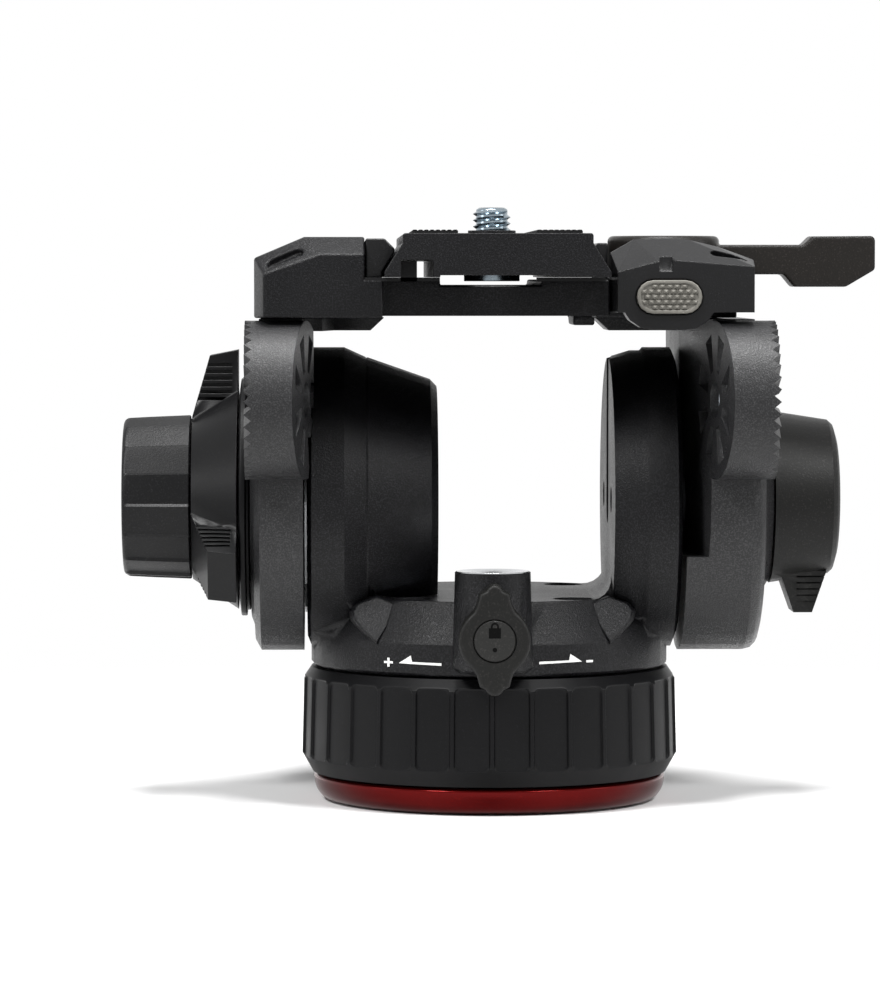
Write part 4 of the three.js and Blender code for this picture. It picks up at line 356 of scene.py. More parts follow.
machined = surface(
    "machined_aluminium", (118, 120, 122), (176, 178, 180), 0.34, scale=1800, bump=0.01,
    metallic=1.0, lathe=True,
)
plated_steel = surface(
    "plated_steel", (148, 153, 160), (196, 200, 206), 0.24, scale=900, bump=0.004, metallic=1.0,
)
_, disc_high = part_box("base_disc")
_, bush_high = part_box("mounting_bush")
disc_radius = disc_high.x / mm
disc_height = disc_high.z / mm
fit_gap = 0.3
disc_bore = bush_high.x / mm + fit_gap
hub_radius, shelf_height = 33.5, 6.5
base_disc = ease_edges(turned([
    (disc_bore, 0), (disc_radius, 0), (disc_radius, shelf_height),
    (hub_radius, shelf_height), (hub_radius, disc_height), (disc_bore, disc_height),
]), 0.3)
settle("turned_foot", base_disc, "base", machined, ["base_disc"])
wear(plated_steel, "mounting_bush")

# Red ring: anodised aluminium pressed round the foot, with a well rounded underside and a small
# chamfer at the top. Light runs along it as one long streak.
red_anodise = surface(
    "red_anodise", (72, 4, 4), (84, 7, 6), 0.22, spread=0.04, scale=1500, bump=0.003,
    metallic=0.85, specular=0.1, coat=0.06, coat_roughness=0.1,
)
_, ring_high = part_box("base_ring")
ring_radius = ring_high.x / mm
ring_height = ring_high.z / mm
ring_bore = disc_radius + fit_gap
ring_foot_radius, ring_lip, ring_bevel = 40.3, 1.2, 0.7
belly_steps = 12
belly = [
    (
        ring_foot_radius + (ring_radius - ring_foot_radius) * sin(step / belly_steps * pi / 2),
        (ring_height - ring_lip) * (1 - cos(step / belly_steps * pi / 2)),
    )
    for step in range(belly_steps + 1)
]
red_ring = turned([
    (ring_bore, 0), *belly, (ring_radius, ring_height - ring_bevel),
    (ring_radius - ring_bevel, ring_height), (ring_bore, ring_height),
], steps=192)
settle("pressed_red_ring", ease_edges(red_ring, 0.15), "base", red_anodise,
       ["base_ring"], crease=40)

# Pan drag ring: turned, then milled with thirty shallow panels whose corners are rounded, which
# leaves narrow ridges for the fingers. Satin black, and pushed over the fluid cup from below.
def pitched(profile, stops, count, centre, along, start, depth_at):
    """A ring of like pitches, turned from a closed wire of (radius, distance along the axis).
    Its steps fall where the stops say, as shares of a pitch counted from the start direction, and
    depth_at(share, height, radius) says how far each point is sunk towards the axis."""
    bm = bmesh.new()
    centre, along, start = Vector(centre), Vector(along), Vector(start)
    across = along.cross(start)
    pitch = 2 * pi / count
    verts = [bm.verts.new(centre + start * r * mm + along * h * mm) for r, h in profile]
    sweep = verts + [bm.edges.new(pair) for pair in zip(verts, verts[1:] + verts[:1])]
    turns = [(b - a) * pitch for a, b in zip(stops, stops[1:] + [1 + stops[0]])]
    for turn in turns * count:
        sweep = bmesh.ops.spin(
            bm, geom=sweep, cent=centre, axis=along, dvec=(0, 0, 0), angle=turn, steps=1,
            use_merge=False, use_duplicate=False,
        )["geom_last"]
    bmesh.ops.remove_doubles(bm, verts=bm.verts, dist=0.002 * mm)
    for vert in bm.verts:
        height = (vert.co - centre).dot(along)
        out = vert.co - centre - along * height
        share = (atan2(out.dot(across), out.dot(start)) / pitch + 1e-6) % 1
        vert.co -= out.normalized() * depth_at(share, height / mm, out.length / mm) * mm
    bmesh.ops.recalc_face_normals(bm, faces=bm.faces)
    return bm


satin_black = surface(
    "satin_black", (6, 6, 7), (20, 20, 22), 0.4, scale=2600, threshold=0.6, bump=0.012,
    specular=0.11, glint=0.06,
)
drag_low, drag_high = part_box("pan_drag_ring")
ring_base, ring_top = drag_low.z / mm, drag_high.z / mm
foot_edge, crown_edge = 12.1, 31.0
foot_radius, wide_radius, upper_radius, crown_radius = 45.1, 47.9, 47.4, 45.4
flange_radius, flange_under, cup_room = 32.2, 31.5, 36.0
panel_low, panel_high = 11.1, 31.8
panel_count, panel_depth, panel_corner, panel_edge = 30, 0.62, 1.7, 0.35
ridge_share = 0.042
ring_turn = radians(-0.85)


def wall_radius(height):
    """The ring's outer radius: a foot cone, the tapered wall and the crown cone."""
    if height < foot_edge:
        share = (height - ring_base) / (foot_edge - ring_base)
        return foot_radius + (wide_radius - foot_radius) * share
    if height < crown_edge:
        share = (height - foot_edge) / (crown_edge - foot_edge)
        return wide_radius + (upper_radius - wide_radius) * share
    share = (height - crown_edge) / (ring_top - crown_edge)
    return upper_radius + (crown_radius - upper_radius) * share


def panel_sink(share, height, radius):
    """How deep the milled panel is at a point of the wall, or nothing on a ridge."""
    if radius < crown_radius - 0.5 or not panel_low < height < panel_high:
        return 0
    half_width = radius * pi / panel_count * (1 - 2 * ridge_share)
    across = abs(share - 0.5) * 2 * pi / panel_count * radius - half_width + panel_corner
    up = abs(height - (panel_low + panel_high) / 2) - (panel_high - panel_low) / 2 + panel_corner
    inside = panel_corner - hypot(max(across, 0), max(up, 0)) - min(max(across, up), 0)
    floor_radius_here = wide_radius + (upper_radius - wide_radius) * (
        (height - foot_edge) / (crown_edge - foot_edge)) - panel_depth
    eased = min(max(inside / panel_edge, 0), 1)
    return max(radius - floor_radius_here, 0) * eased * eased * (3 - 2 * eased)


wall_heights = [
    ring_base, 10.4, 11.0, 11.15, 11.3, 11.45, 11.6, 11.8, foot_edge, 12.3, 12.6, 13.0, 14, 17,
    21.6, 26, 29, 29.9, 30.3, 30.6, 30.8, crown_edge, 31.2, 31.35, 31.5, 31.65, 31.8, 32, ring_top,
]
ring_profile = [
    (cup_room, ring_base), *[(wall_radius(z), z) for z in wall_heights], (flange_radius, ring_top),
    (flange_radius, flange_under), (cup_room, flange_under),
]
ring_stops = [
    0.0, 0.03, 0.042, 0.05, 0.058, 0.066, 0.075, 0.1, 0.14, 0.19, 0.3, 0.5, 0.7, 0.81, 0.86, 0.9,
    0.925, 0.934, 0.942, 0.95, 0.958, 0.97,
]
fluted = pitched(
    ring_profile, ring_stops, panel_count, (0, 0, 0), (0, 0, 1),
    (sin(ring_turn), -cos(ring_turn), 0), panel_sink,
)
settle("fluted_drag_ring", fluted, "pan_drag_ring", satin_black,
       ["pan_drag_ring"], crease=40)

# Pan works, inside the ring: a steel spindle on a bronze washer, a ball bearing, the fluid cup
# and its rotor, a friction washer, and the drum that the lock's bronze shoe presses on.
bearing_bronze = surface(
    "bearing_bronze", (128, 92, 48), (168, 128, 74), 0.34, scale=1200, bump=0.006, metallic=1.0,
)
friction_lining = surface(
    "friction_lining", (66, 58, 50), (96, 86, 74), 0.9, scale=1600, threshold=0.5, bump=0.03,
)
wear(plated_steel, "pan_spindle", "pan_bearing", "pan_brake_drum", "pan_lock_stem")
wear(machined, "pan_fluid_cup", "pan_drag_rotor")
wear(bearing_bronze, "pan_thrust_washer", "pan_brake_shoe")
wear(friction_lining, "pan_friction_washer")


# Frame: one magnesium casting, powder coated black. Its skirt carries the pan works, its two
# round housings the tilt works, and the coating alone softens its edges.
def restyle(name, node, width, body, material, crease=34):
    """Settles a copy of a CAD piece in its own finish, with its loose triangles joined and its
    sharp edges rounded over, apart from those that end where there is no room for it. A width of
    0 rounds none."""
    weld, room = 0.02, 1.7
    bm = bmesh.new()
    bm.from_mesh(frame["nodes"][node].data)
    bmesh.ops.remove_doubles(bm, verts=bm.verts, dist=0.002 * mm)
    bmesh.ops.dissolve_limit(
        bm, angle_limit=radians(1), verts=bm.verts, edges=bm.edges, use_dissolve_boundaries=False,
    )
    if width:
        bmesh.ops.remove_doubles(bm, verts=bm.verts, dist=weld * mm)
        cramped = {
            v for v in bm.verts if min(e.calc_length() for e in v.link_edges) < room * width * mm
        }
        free = [e for e in sharp_edges(bm) if not cramped.intersection(e.verts)]
        round_over(bm, free, width, clamp=False)
        bmesh.ops.triangulate(bm, faces=[f for f in bm.faces if len(f.verts) > 4])
    settle(name, bm, body, material, [node], crease)


def extruded(bm, faces, shift=(0, 0, 0), keep=False):
    """Extrudes faces by a shift in metres and gives the points of their far end."""
    grown = bmesh.ops.extrude_face_region(bm, geom=faces, use_keep_orig=keep)["geom"]
    raised = [part for part in grown if isinstance(part, bmesh.types.BMVert)]
    bmesh.ops.translate(bm, verts=raised, vec=shift)
    return raised


powder_coat = surface(
    "powder_coat", (3, 3, 4), (30, 30, 32), 0.42, scale=2600, threshold=0.46, softness=0.24,
    bump=0.14, specular=0.15, glint=0.16, edge=0.3,
)
restyle("coated_frame", "u_frame", 0, "pan_frame", powder_coat)
restyle("coated_drum", "counterbalance_drum", 0, "pan_frame", powder_coat)

# Corner webs: cast with the frame, one fills each corner where a round housing leaves the
# shoulder. Its flat face leans and swings back a little, and its sides taper into the casting.
web_face = [
    (34.9, 49.7), (33.6, 51.7), (28.9, 53.4), (24.8, 51.9), (26.4, 46.5), (29.0, 42.2),
    (32.2, 44.9), (34.3, 47.5),
]
web_middle = Vector((30.5, 0, 48.5)) * mm
web_depth, web_spread, web_round, web_rear_drop = 5.5, 0.3, 0.5, 1.5
web_pivot_x, web_pivot_y, web_pivot_z, web_swing, web_lean = 26.2, -31.7, 51.7, 0.35, 0.54
for side, across in (("left", -1), ("right", 1)):
    for end, along, lift in (("front", 1, 0), ("rear", -1, -web_rear_drop)):
        web = bmesh.new()
        face = web.faces.new([
            web.verts.new(Vector((
                x, web_pivot_y + web_swing * (x - web_pivot_x) + web_lean * (z - web_pivot_z), z,
            )) * mm)
            for x, z in web_face
        ])
        for v in extruded(web, [face], keep=True):
            outward = v.co - web_middle
            v.co += Vector((outward.x * web_spread, web_depth * mm, min(outward.z, 0) * web_spread))
        round_over(web, list(face.edges), web_round, segments=3)
        bmesh.ops.translate(web, vec=Vector((0, 0, lift * mm)), verts=web.verts)
        bmesh.ops.scale(web, vec=Vector((across, along, 1)), verts=web.verts)
        bmesh.ops.recalc_face_normals(web, faces=web.faces)
        settle(f"corner_web_{side}_{end}", web, "pan_frame", powder_coat)

# Drum gasket: a stepped ring, coated with the frame, that seals the drum to the left housing. It
# lines the bottom of the groove between them, and is cut level with the drum's flat underside.
drum_low, drum_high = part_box("counterbalance_drum")
gasket_start, gasket_step, gasket_end = (drum_low.x / mm + along for along in (-1.4, 0.1, 1.15))
gasket_hole, gasket_radius, gasket_lip = 22, (drum_high.z - tilt_z) / mm - 0.2, 1
gasket = turned([
    (gasket_hole, gasket_start), (gasket_radius, gasket_start), (gasket_radius, gasket_step),
    (gasket_radius - gasket_lip, gasket_step), (gasket_radius - gasket_lip, gasket_end),
    (gasket_hole, gasket_end),
], (0, 0, tilt_z), "X")
bmesh.ops.bisect_plane(
    gasket, geom=gasket.verts[:] + gasket.edges[:] + gasket.faces[:], clear_inner=True,
    plane_co=Vector((0, 0, drum_low.z)), plane_no=Vector((0, 0, 1)),
)
bmesh.ops.holes_fill(gasket, edges=[e for e in gasket.edges if e.is_boundary], sides=0)
settle("drum_gasket", gasket, "pan_frame", powder_coat)

# Screws: four plated socket screws hold the frame's floor down on the pan works, and two more hold
# the right housing's inner wall. The counterbalance spring is of the same bright steel.
for side in ("left", "right"):
    for end in ("front", "rear"):
        restyle(f"socket_screw_{side}_{end}", f"floor_screw_{side}_{end}", 0.25, "pan_frame",
                plated_steel)
wear(plated_steel, "wall_screw_front", "wall_screw_rear", "counterbalance_spring")

# Printed marks on the frame's skirt: plus and minus signs, and a half arrow beside each that shows
# which way the drag ring turns. White ink, pad printed, that bends with the skirt.
print_white = surface(
    "print_white", (205, 205, 203), (226, 226, 224), 0.6, scale=1500, bump=0.004, specular=0.2,
)
skirt_radius, ink, print_strips = 45.45, 0.04, 12
plus_length, minus_length, sign_stroke, sign_height = 2.2, 1.7, 0.55, 37.65
shaft_half, barb_half, barb_tip, barb_base, barb_height = 0.32, 0.42, 3.0, 3.3, 2.0


def bar(x, z, length, stroke):
    """A level stroke of the print, as an outline of (x, z) places."""
    return [
        (x - length / 2, z - stroke / 2), (x + length / 2, z - stroke / 2),
        (x + length / 2, z + stroke / 2), (x - length / 2, z + stroke / 2),
    ]


def half_arrow(tip, tail, level):
    """A half arrow whose shaft lies level and whose one barb stands above its tip."""
    way = 1 if tip > tail else -1
    return [
        (tip, level), (tail, level - shaft_half), (tail, level + shaft_half),
        (tip - way * barb_base, level + barb_half), (tip - way * barb_tip, level + barb_height),
    ]


def printed(name, outline):
    """Ink on the skirt: a flat outline cut into narrow strips, thickened and bent round it."""
    bm = bmesh.new()
    bm.faces.new([bm.verts.new((x * mm, 0, z * mm)) for x, z in outline])
    bmesh.ops.recalc_face_normals(bm, faces=bm.faces)
    left = min(v.co.x for v in bm.verts)
    right = max(v.co.x for v in bm.verts)
    for step in range(1, print_strips):
        bmesh.ops.bisect_plane(
            bm, geom=bm.verts[:] + bm.edges[:] + bm.faces[:],
            plane_co=(left + (right - left) * step / print_strips, 0, 0), plane_no=(1, 0, 0),
        )
    extruded(bm, bm.faces[:], (0, -ink * mm, 0))
    for vert in bm.verts:
        vert.co.y -= (skirt_radius ** 2 - (vert.co.x / mm) ** 2) ** 0.5 * mm
    bmesh.ops.recalc_face_normals(bm, faces=bm.faces)
    settle(name, bm, "pan_frame", print_white)


plus_x, left_tip, left_tail, left_height = -26.1, -23.6, -13.1, sign_height - 0.1
minus_x, right_tip, right_tail, right_height = 23.7, 21.8, 11.0, sign_height + 0.3
printed("printed_plus_across", bar(plus_x, sign_height, plus_length, sign_stroke))
printed("printed_plus_upright", bar(plus_x, sign_height, sign_stroke, plus_length))
printed("printed_minus", bar(minus_x, right_height, minus_length, sign_stroke))
printed("printed_arrow_left", half_arrow(left_tip, left_tail, left_height))
printed("printed_arrow_right", half_arrow(right_tip, right_tail, right_height))

# Bubble level: a bright turned bezel let into the boss of the pan lock, and under its clear domed
# window a shallow pool of spirit with a bubble and a black ring to centre it in.
bright_aluminium = surface(
    "bright_aluminium", (186, 188, 190), (226, 228, 230), 0.2, scale=2500, bump=0.004,
    metallic=1.0, lathe=True,
)
cup_low, cup_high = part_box("bubble_level_cup")
level_centre = ((cup_low.x + cup_high.x) / 2, (cup_low.y + cup_high.y) / 2, 0)
level_radius = (cup_high.x - cup_low.x) / 2 / mm
level_top, level_seat = cup_high.z / mm, cup_low.z / mm
vial_radius, pool_radius, bezel_radius = 4.7, 4.6, level_radius + 0.8
bezel_under, bezel_top, bezel_round = level_top + 0.02, level_top + 0.25, 0.08
bezel_lip, bezel_slope = 0.5, 0.7
vial_floor, pool_floor, pool_top, window_foot = (level_seat + up for up in (1.2, 1.3, 2.5, 2.95))
bezel = turned([
    (0, level_seat), (level_radius, level_seat), (level_radius, bezel_under),
    (bezel_radius, bezel_under), (bezel_radius, bezel_top - bezel_round),
    (bezel_radius - bezel_round, bezel_top), (level_radius - bezel_lip, bezel_top),
    (vial_radius, level_top - bezel_slope), (vial_radius, vial_floor), (0, vial_floor),
], level_centre, steps=96)
settle("level_bezel", bezel, "pan_frame", bright_aluminium, ["bubble_level_cup"])
spirit = surface(
    "level_spirit", (176, 190, 96), (192, 206, 116), 0.1, spread=0.02, bump=0.001, coat=0.6,
    coat_roughness=0.03,
)
pool = turned([
    (0, pool_floor), (pool_radius, pool_floor), (pool_radius, pool_top), (0, pool_top),
], level_centre, steps=96)
settle("level_pool", pool, "pan_frame", spirit)
bubble_skin = surface(
    "bubble_skin", (214, 222, 166), (226, 232, 182), 0.08, spread=0.02, bump=0.001, coat=1.0,
    coat_roughness=0.02,
)
bubble_place = (level_centre[0] + 0.5 * mm, level_centre[1] + 0.4 * mm, 0)
bubble_radius, bubble_height, dome_steps = 1.4, 0.4, 8


def dome(radius, height, foot):
    """The side of a low dome, from its foot to just short of its top."""
    angles = [step / dome_steps * pi / 2 for step in range(dome_steps)]
    return [(radius * cos(a), foot + height * sin(a)) for a in angles]


bubble = turned([
    (0, pool_top - 0.05), *dome(bubble_radius, bubble_height, pool_top),
    (0, pool_top + bubble_height),
], bubble_place, steps=48)
settle("level_bubble", bubble, "pan_frame", bubble_skin)
print_black = surface(
    "print_black", (2, 2, 2), (5, 5, 5), 0.6, scale=1500, bump=0.003, specular=0.05,
)
mark_hole, mark_radius, mark_foot, mark_top = 2.1, 2.35, pool_top + 0.02, pool_top + 0.08
level_mark = turned([
    (mark_hole, mark_foot), (mark_radius, mark_foot), (mark_radius, mark_top),
    (mark_hole, mark_top),
], level_centre, steps=72)
settle("level_mark", level_mark, "pan_frame", print_black)
clear_window, window_tree, window_surface = blank_material("clear_window")
fill(window_surface, {"Transmission Weight": 1, "IOR": 1.49, "Coat Roughness": 0.03})
window_marks = effect(window_tree, grain, {"Scale": 300})
window_haze = fill(window_tree.nodes.new("ShaderNodeMapRange"), {"To Min": 0.01, "To Max": 0.05})
window_tint = window_tree.nodes.new("ShaderNodeMix")
window_tint.data_type = "RGBA"
fill(window_tint, {"A": linear(244, 248, 240), "B": linear(250, 252, 248)})
window_tree.links.new(window_marks.outputs["Clouds"], window_haze.inputs["Value"])
window_tree.links.new(window_haze.outputs["Result"], window_surface.inputs["Roughness"])
window_tree.links.new(window_marks.outputs["Clouds"], window_tint.inputs["Factor"])
window_tree.links.new(window_tint.outputs["Result"], window_surface.inputs["Base Color"])
window_edge, window_height = 0.05, 0.5
window_dome = turned([
    (0, window_foot), (pool_radius, window_foot),
    *dome(pool_radius, window_height, window_foot + window_edge),
    (0, window_foot + window_edge + window_height),
], level_centre, steps=96)
settle("level_window", window_dome, "pan_frame", clear_window,
       ["bubble_level_window"])

# Pan lock: a winged knob moulded in dark grey, screwed to its stem through the middle. A round cap
# covers the screw, and a padlock and a dot are printed on it in black.
moulded_grey = surface(
    "moulded_grey", (12, 12, 11), (30, 29, 28), 0.46, scale=2200, threshold=0.56, bump=0.04,
    specular=0.15, glint=0.08,
)
knob_low, knob_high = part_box("pan_lock_knob")
knob_x = (knob_low.x + knob_high.x) / 2
knob_front, knob_back = knob_low.y, knob_high.y
knob_radius, cap_seat_radius, cap_seat_depth = (knob_high.x - knob_low.x) / 2 / mm, 5.35, 1.2
lock_cap_low, lock_cap_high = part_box("pan_lock_cap")
cap_x = (lock_cap_low.x + lock_cap_high.x) / 2
cap_z = (lock_cap_low.z + lock_cap_high.z) / 2


def round_points(radius, first, last, steps, x=0.0, z=0.0):
    """Points on an arc, from the first to the last angle in degrees."""
    return [
        (x + radius * cos(radians(first + (last - first) * k / steps)),
         z + radius * sin(radians(first + (last - first) * k / steps)))
        for k in range(steps + 1)
    ]


def wing(reach, side):
    """One wing's outline: a hollow from the round body, straight flanks and a rounded tip."""
    tip_radius = 2.3
    flank = [(5.1, 7.2), (4.6, 8.0), (4.2, 9.0), (3.6, reach - 2.2)]
    tip = round_points(tip_radius, 20, 160, 8, 0, reach - tip_radius)
    outline = flank + tip + [(-x, z) for x, z in reversed(flank)]
    return [(side * x, side * z) for x, z in outline]


top_reach, bottom_reach = (knob_high.z - cap_z) / mm, (cap_z - knob_low.z) / mm
knob_outline = [
    *round_points(knob_radius, -50, 50, 20), *wing(top_reach, 1),
    *round_points(knob_radius, 130, 230, 20), *wing(bottom_reach, -1),
]
lock_knob = bmesh.new()
rim = [lock_knob.verts.new((knob_x + x * mm, knob_front, cap_z + z * mm)) for x, z in knob_outline]
rim_wire = [lock_knob.edges.new(pair) for pair in zip(rim, rim[1:] + rim[:1])]
seat = bmesh.ops.create_circle(
    lock_knob, segments=72, radius=cap_seat_radius * mm,
    matrix=Matrix.Translation((cap_x, knob_front, cap_z)) @ Matrix.Rotation(radians(90), 4, "X"),
)["verts"]
seat_wire = [e for e in lock_knob.edges if e.verts[0] in seat and e.verts[1] in seat]
bmesh.ops.bridge_loops(lock_knob, edges=rim_wire + seat_wire)
for wire, depth in ((rim_wire, knob_back - knob_front), (seat_wire, cap_seat_depth * mm)):
    pushed = bmesh.ops.extrude_edge_only(lock_knob, edges=wire)["geom"]
    ends = [v for v in pushed if isinstance(v, bmesh.types.BMVert)]
    bmesh.ops.translate(lock_knob, verts=ends, vec=(0, depth, 0))
    bmesh.ops.holes_fill(
        lock_knob, edges=[e for e in pushed if isinstance(e, bmesh.types.BMEdge) and e.is_boundary],
    )
bmesh.ops.recalc_face_normals(lock_knob, faces=lock_knob.faces)
round_over(lock_knob, [e for e in rim_wire if e.is_valid], 1.0, segments=4, clamp=False)
settle("winged_lock_knob", lock_knob, "pan_lock", moulded_grey,
       ["pan_lock_knob"], crease=40)
cap_grey = surface(
    "cap_grey", (22, 22, 21), (38, 37, 36), 0.4, scale=2200, threshold=0.56, bump=0.015,
    specular=0.2, glint=0.05,
)
cap_front, cap_back = lock_cap_low.y, lock_cap_high.y
cap_radius = (lock_cap_high.x - lock_cap_low.x) / 2 / mm
cap_depth, cap_bevel = (cap_back - cap_front) / mm, 0.25
lock_cap = turned([
    (0, 0), (cap_radius - cap_bevel, 0), (cap_radius, cap_bevel), (cap_radius, cap_depth),
    (0, cap_depth),
], (cap_x, cap_front, cap_z), "Y", 96)
settle("pan_lock_button", lock_cap, "pan_lock", cap_grey, ["pan_lock_cap"])


def inked(name, outline):
    """Ink on the cap: an outline of (x, z) places about its middle, standing a little proud."""
    bm = bmesh.new()
    flat = bm.faces.new([
        bm.verts.new((cap_x + x * mm, cap_front, cap_z + z * mm)) for x, z in outline
    ])
    extruded(bm, [flat], (0, -ink * mm, 0))
    bmesh.ops.recalc_face_normals(bm, faces=bm.faces)
    settle(name, bm, "pan_lock", print_black)


lock_width, lock_foot, lock_head = 2.9, 0.7, 3.2
shackle_out, shackle_in, shackle_leg = 0.98, 0.52, 0.35
dot_radius, dot_drop = 0.55, 2.1
inked("lock_sign_body", bar(0, (lock_foot + lock_head) / 2, lock_width, lock_head - lock_foot))
inked("lock_sign_shackle", [
    (shackle_out, lock_head), *round_points(shackle_out, 0, 180, 16, z=lock_head + shackle_leg),
    (-shackle_out, lock_head), (-shackle_in, lock_head),
    *round_points(shackle_in, 180, 0, 16, z=lock_head + shackle_leg), (shackle_in, lock_head),
])
inked("lock_sign_dot", round_points(dot_radius, 0, 345, 23, z=-dot_drop))

# Tilt arms: two satin grey castings that carry the platform, each with a toothed rosette for a
# pan bar. Their bearings turn on the blued axles, beside the fluid cup and the brake, and a thin
# cover closes the left one.
satin_cast = surface(
    "satin_cast", (24, 24, 25), (52, 52, 53), 0.4, scale=2700, threshold=0.46, softness=0.24,
    bump=0.12, specular=0.22, glint=0.14, edge=0.3,
)
for side in ("left", "right"):
    restyle(f"cast_arm_{side}", f"tilt_arm_{side}", 0, "cradle", satin_cast)
    restyle(f"threaded_insert_{side}", f"rosette_insert_{side}", 0.25, "cradle",
            plated_steel)
blued_steel = surface(
    "blued_steel", (22, 23, 25), (38, 39, 42), 0.45, scale=1200, bump=0.006, metallic=0.4,
    specular=0.1,
)
wear(blued_steel, "tilt_axle_left", "tilt_axle_right", "tilt_bearing_left",
     "tilt_bearing_right", "tilt_brake_disc", "release_catch_pin")
wear(machined, "tilt_fluid_cup", "tilt_drag_rotor")
wear(friction_lining, "tilt_brake_pad")
restyle("thin_side_cover", "left_side_cover", 0.25, "cradle", satin_black)

# Counterbalance dial: a flared ring with three ribbed wings, moulded in semi-gloss black. It is
# pushed over the left cover and clicks round in steps.
dial_black = surface(
    "dial_black", (9, 9, 10), (24, 24, 25), 0.38, scale=2200, threshold=0.6, bump=0.02,
    specular=0.14, glint=0.05, edge=0.35,
)
restyle("winged_dial", "counterbalance_dial", 0, "counterbalance_dial",
        dial_black)

# Drag knob: a rubber sleeve of sixteen panels, each starting a little above where the last one
# ended, pushed over a moulded core. The sleeve's outer end is rounded.
sleeve_rubber = surface(
    "sleeve_rubber", (10, 10, 11), (28, 28, 29), 0.4, scale=2400, threshold=0.53, softness=0.2,
    bump=0.05, specular=0.14, glint=0.08,
)
grip_low, grip_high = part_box("drag_knob_grip")
grip_axis = (0, 0, (grip_low.z + grip_high.z) / 2)
grip_end, grip_root = grip_low.x / mm, grip_high.x / mm
root_radius, end_radius, end_round, root_round = 21.0, 20.3, 1.6, 0.3
core_low, core_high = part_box("drag_knob_core")
sleeve_bore, bore_bevel = (core_high.z - core_low.z) / 2 / mm + fit_gap, 0.4
sleeve_taper = ((5, 0.2), (11, 0.45))
sleeve_panels, panel_step, groove_depth = 16, 0.6, 0.35
groove_start, groove_share, lip_share = 0.115, 0.055, 0.1
sleeve_profile = [
    (sleeve_bore, grip_root), (root_radius - root_round, grip_root),
    (root_radius, grip_root - root_round),
    *[(root_radius - inset, grip_root - distance) for distance, inset in sleeve_taper],
    *[
        (end_radius - end_round * (1 - cos(a)), grip_end + end_round * (1 - sin(a)))
        for a in map(radians, (0, 18, 36, 54, 72, 90))
    ],
    (sleeve_bore + bore_bevel, grip_end), (sleeve_bore, grip_end + bore_bevel),
]


def sleeve_sink(share, height, radius):
    """Each panel is flat. It starts at a narrow lip, and ends a step lower, at a groove."""
    if radius < sleeve_bore + 1:
        return 0
    fade = min(max((height - grip_end) / end_round, 0), 1)
    rise = (share - groove_start) % 1
    if rise < groove_share:
        return (panel_step + groove_depth) * fade
    if rise < lip_share:
        return 0
    whole, passed = (2 * pi / sleeve_panels * (part - lip_share) for part in (1.0, rise))
    low = 1 - panel_step / radius
    chord = low * sin(whole) / (
        sin(passed) * (1 - low * cos(whole)) + cos(passed) * low * sin(whole))
    return radius * (1 - chord) * fade


sleeve_stops = [
    0.12, 0.145, 0.165, 0.175, 0.195, 0.213, 0.222, 0.3, 0.45, 0.65, 0.85, 1.0, 1.08, 1.11,
]
sleeve = pitched(
    sleeve_profile, sleeve_stops, sleeve_panels, grip_axis, (1, 0, 0), (0, 1, 0), sleeve_sink,
)
settle("panelled_sleeve", sleeve, "tilt_drag_knob", sleeve_rubber, ["drag_knob_grip"],
       crease=28)
moulded_black = surface(
    "moulded_black", (10, 10, 11), (24, 24, 25), 0.42, scale=2200, threshold=0.58, bump=0.02,
    specular=0.2,
)
restyle("sleeve_core", "drag_knob_core", 0.4, "tilt_drag_knob", moulded_black)

# Tilt lock knob: a domed cone with one ribbed tab, moulded in the same dark grey as the pan lock's
# knob. It is screwed to the right axle and presses the brake pad on its disc.
restyle("tabbed_lock_knob", "tilt_lock_knob", 0, "tilt_lock_knob", moulded_grey)

# Platform: a powder-coated casting on the arms' feet, with the channel that the plate lies in.
# Its left jaw, of glossy black, is screwed to it, and the right one is drawn in by the lever. The
# release housing closes its right front corner.
restyle("coated_platform", "platform_body", 0.5, "cradle", powder_coat)
gloss_black = surface(
    "gloss_black", (8, 8, 9), (30, 30, 32), 0.34, scale=2300, threshold=0.56, softness=0.2,
    bump=0.05, specular=0.22, coat=0.04, coat_roughness=0.15, glint=0.1, edge=0.5,
)
restyle("bolted_jaw", "fixed_jaw", 0.35, "cradle", gloss_black)
restyle("sliding_jaw", "moving_jaw", 0.35, "moving_jaw", gloss_black)
restyle("button_housing", "release_housing", 0, "cradle", gloss_black, crease=9)

# Two wear strips of black nylon are let into the front of the plate's channel, and a small catch
# stands in the groove under the plate, so that the plate can't slide right out.
block_front, block_back, channel_floor, strip_top, catch_top = -49.9, -46.4, 131.9, 132.86, 136.9
for name, left, right, top in (
    ("wear_strip_left", -32.0, -13.6, strip_top),
    ("wear_strip_right", 10.1, 27.0, strip_top),
    ("plate_catch", -23.2, -19.2, catch_top),
):
    block = bmesh.new()
    corners = (
        (left, block_front), (right, block_front), (right, block_back), (left, block_back),
    )
    sole = block.faces.new([
        block.verts.new(Vector((x, y, channel_floor)) * mm) for x, y in corners
    ])
    extruded(block, [sole], (0, 0, (top - channel_floor) * mm), keep=True)
    bmesh.ops.recalc_face_normals(block, faces=block.faces)
    settle(name, block, "cradle", moulded_black)

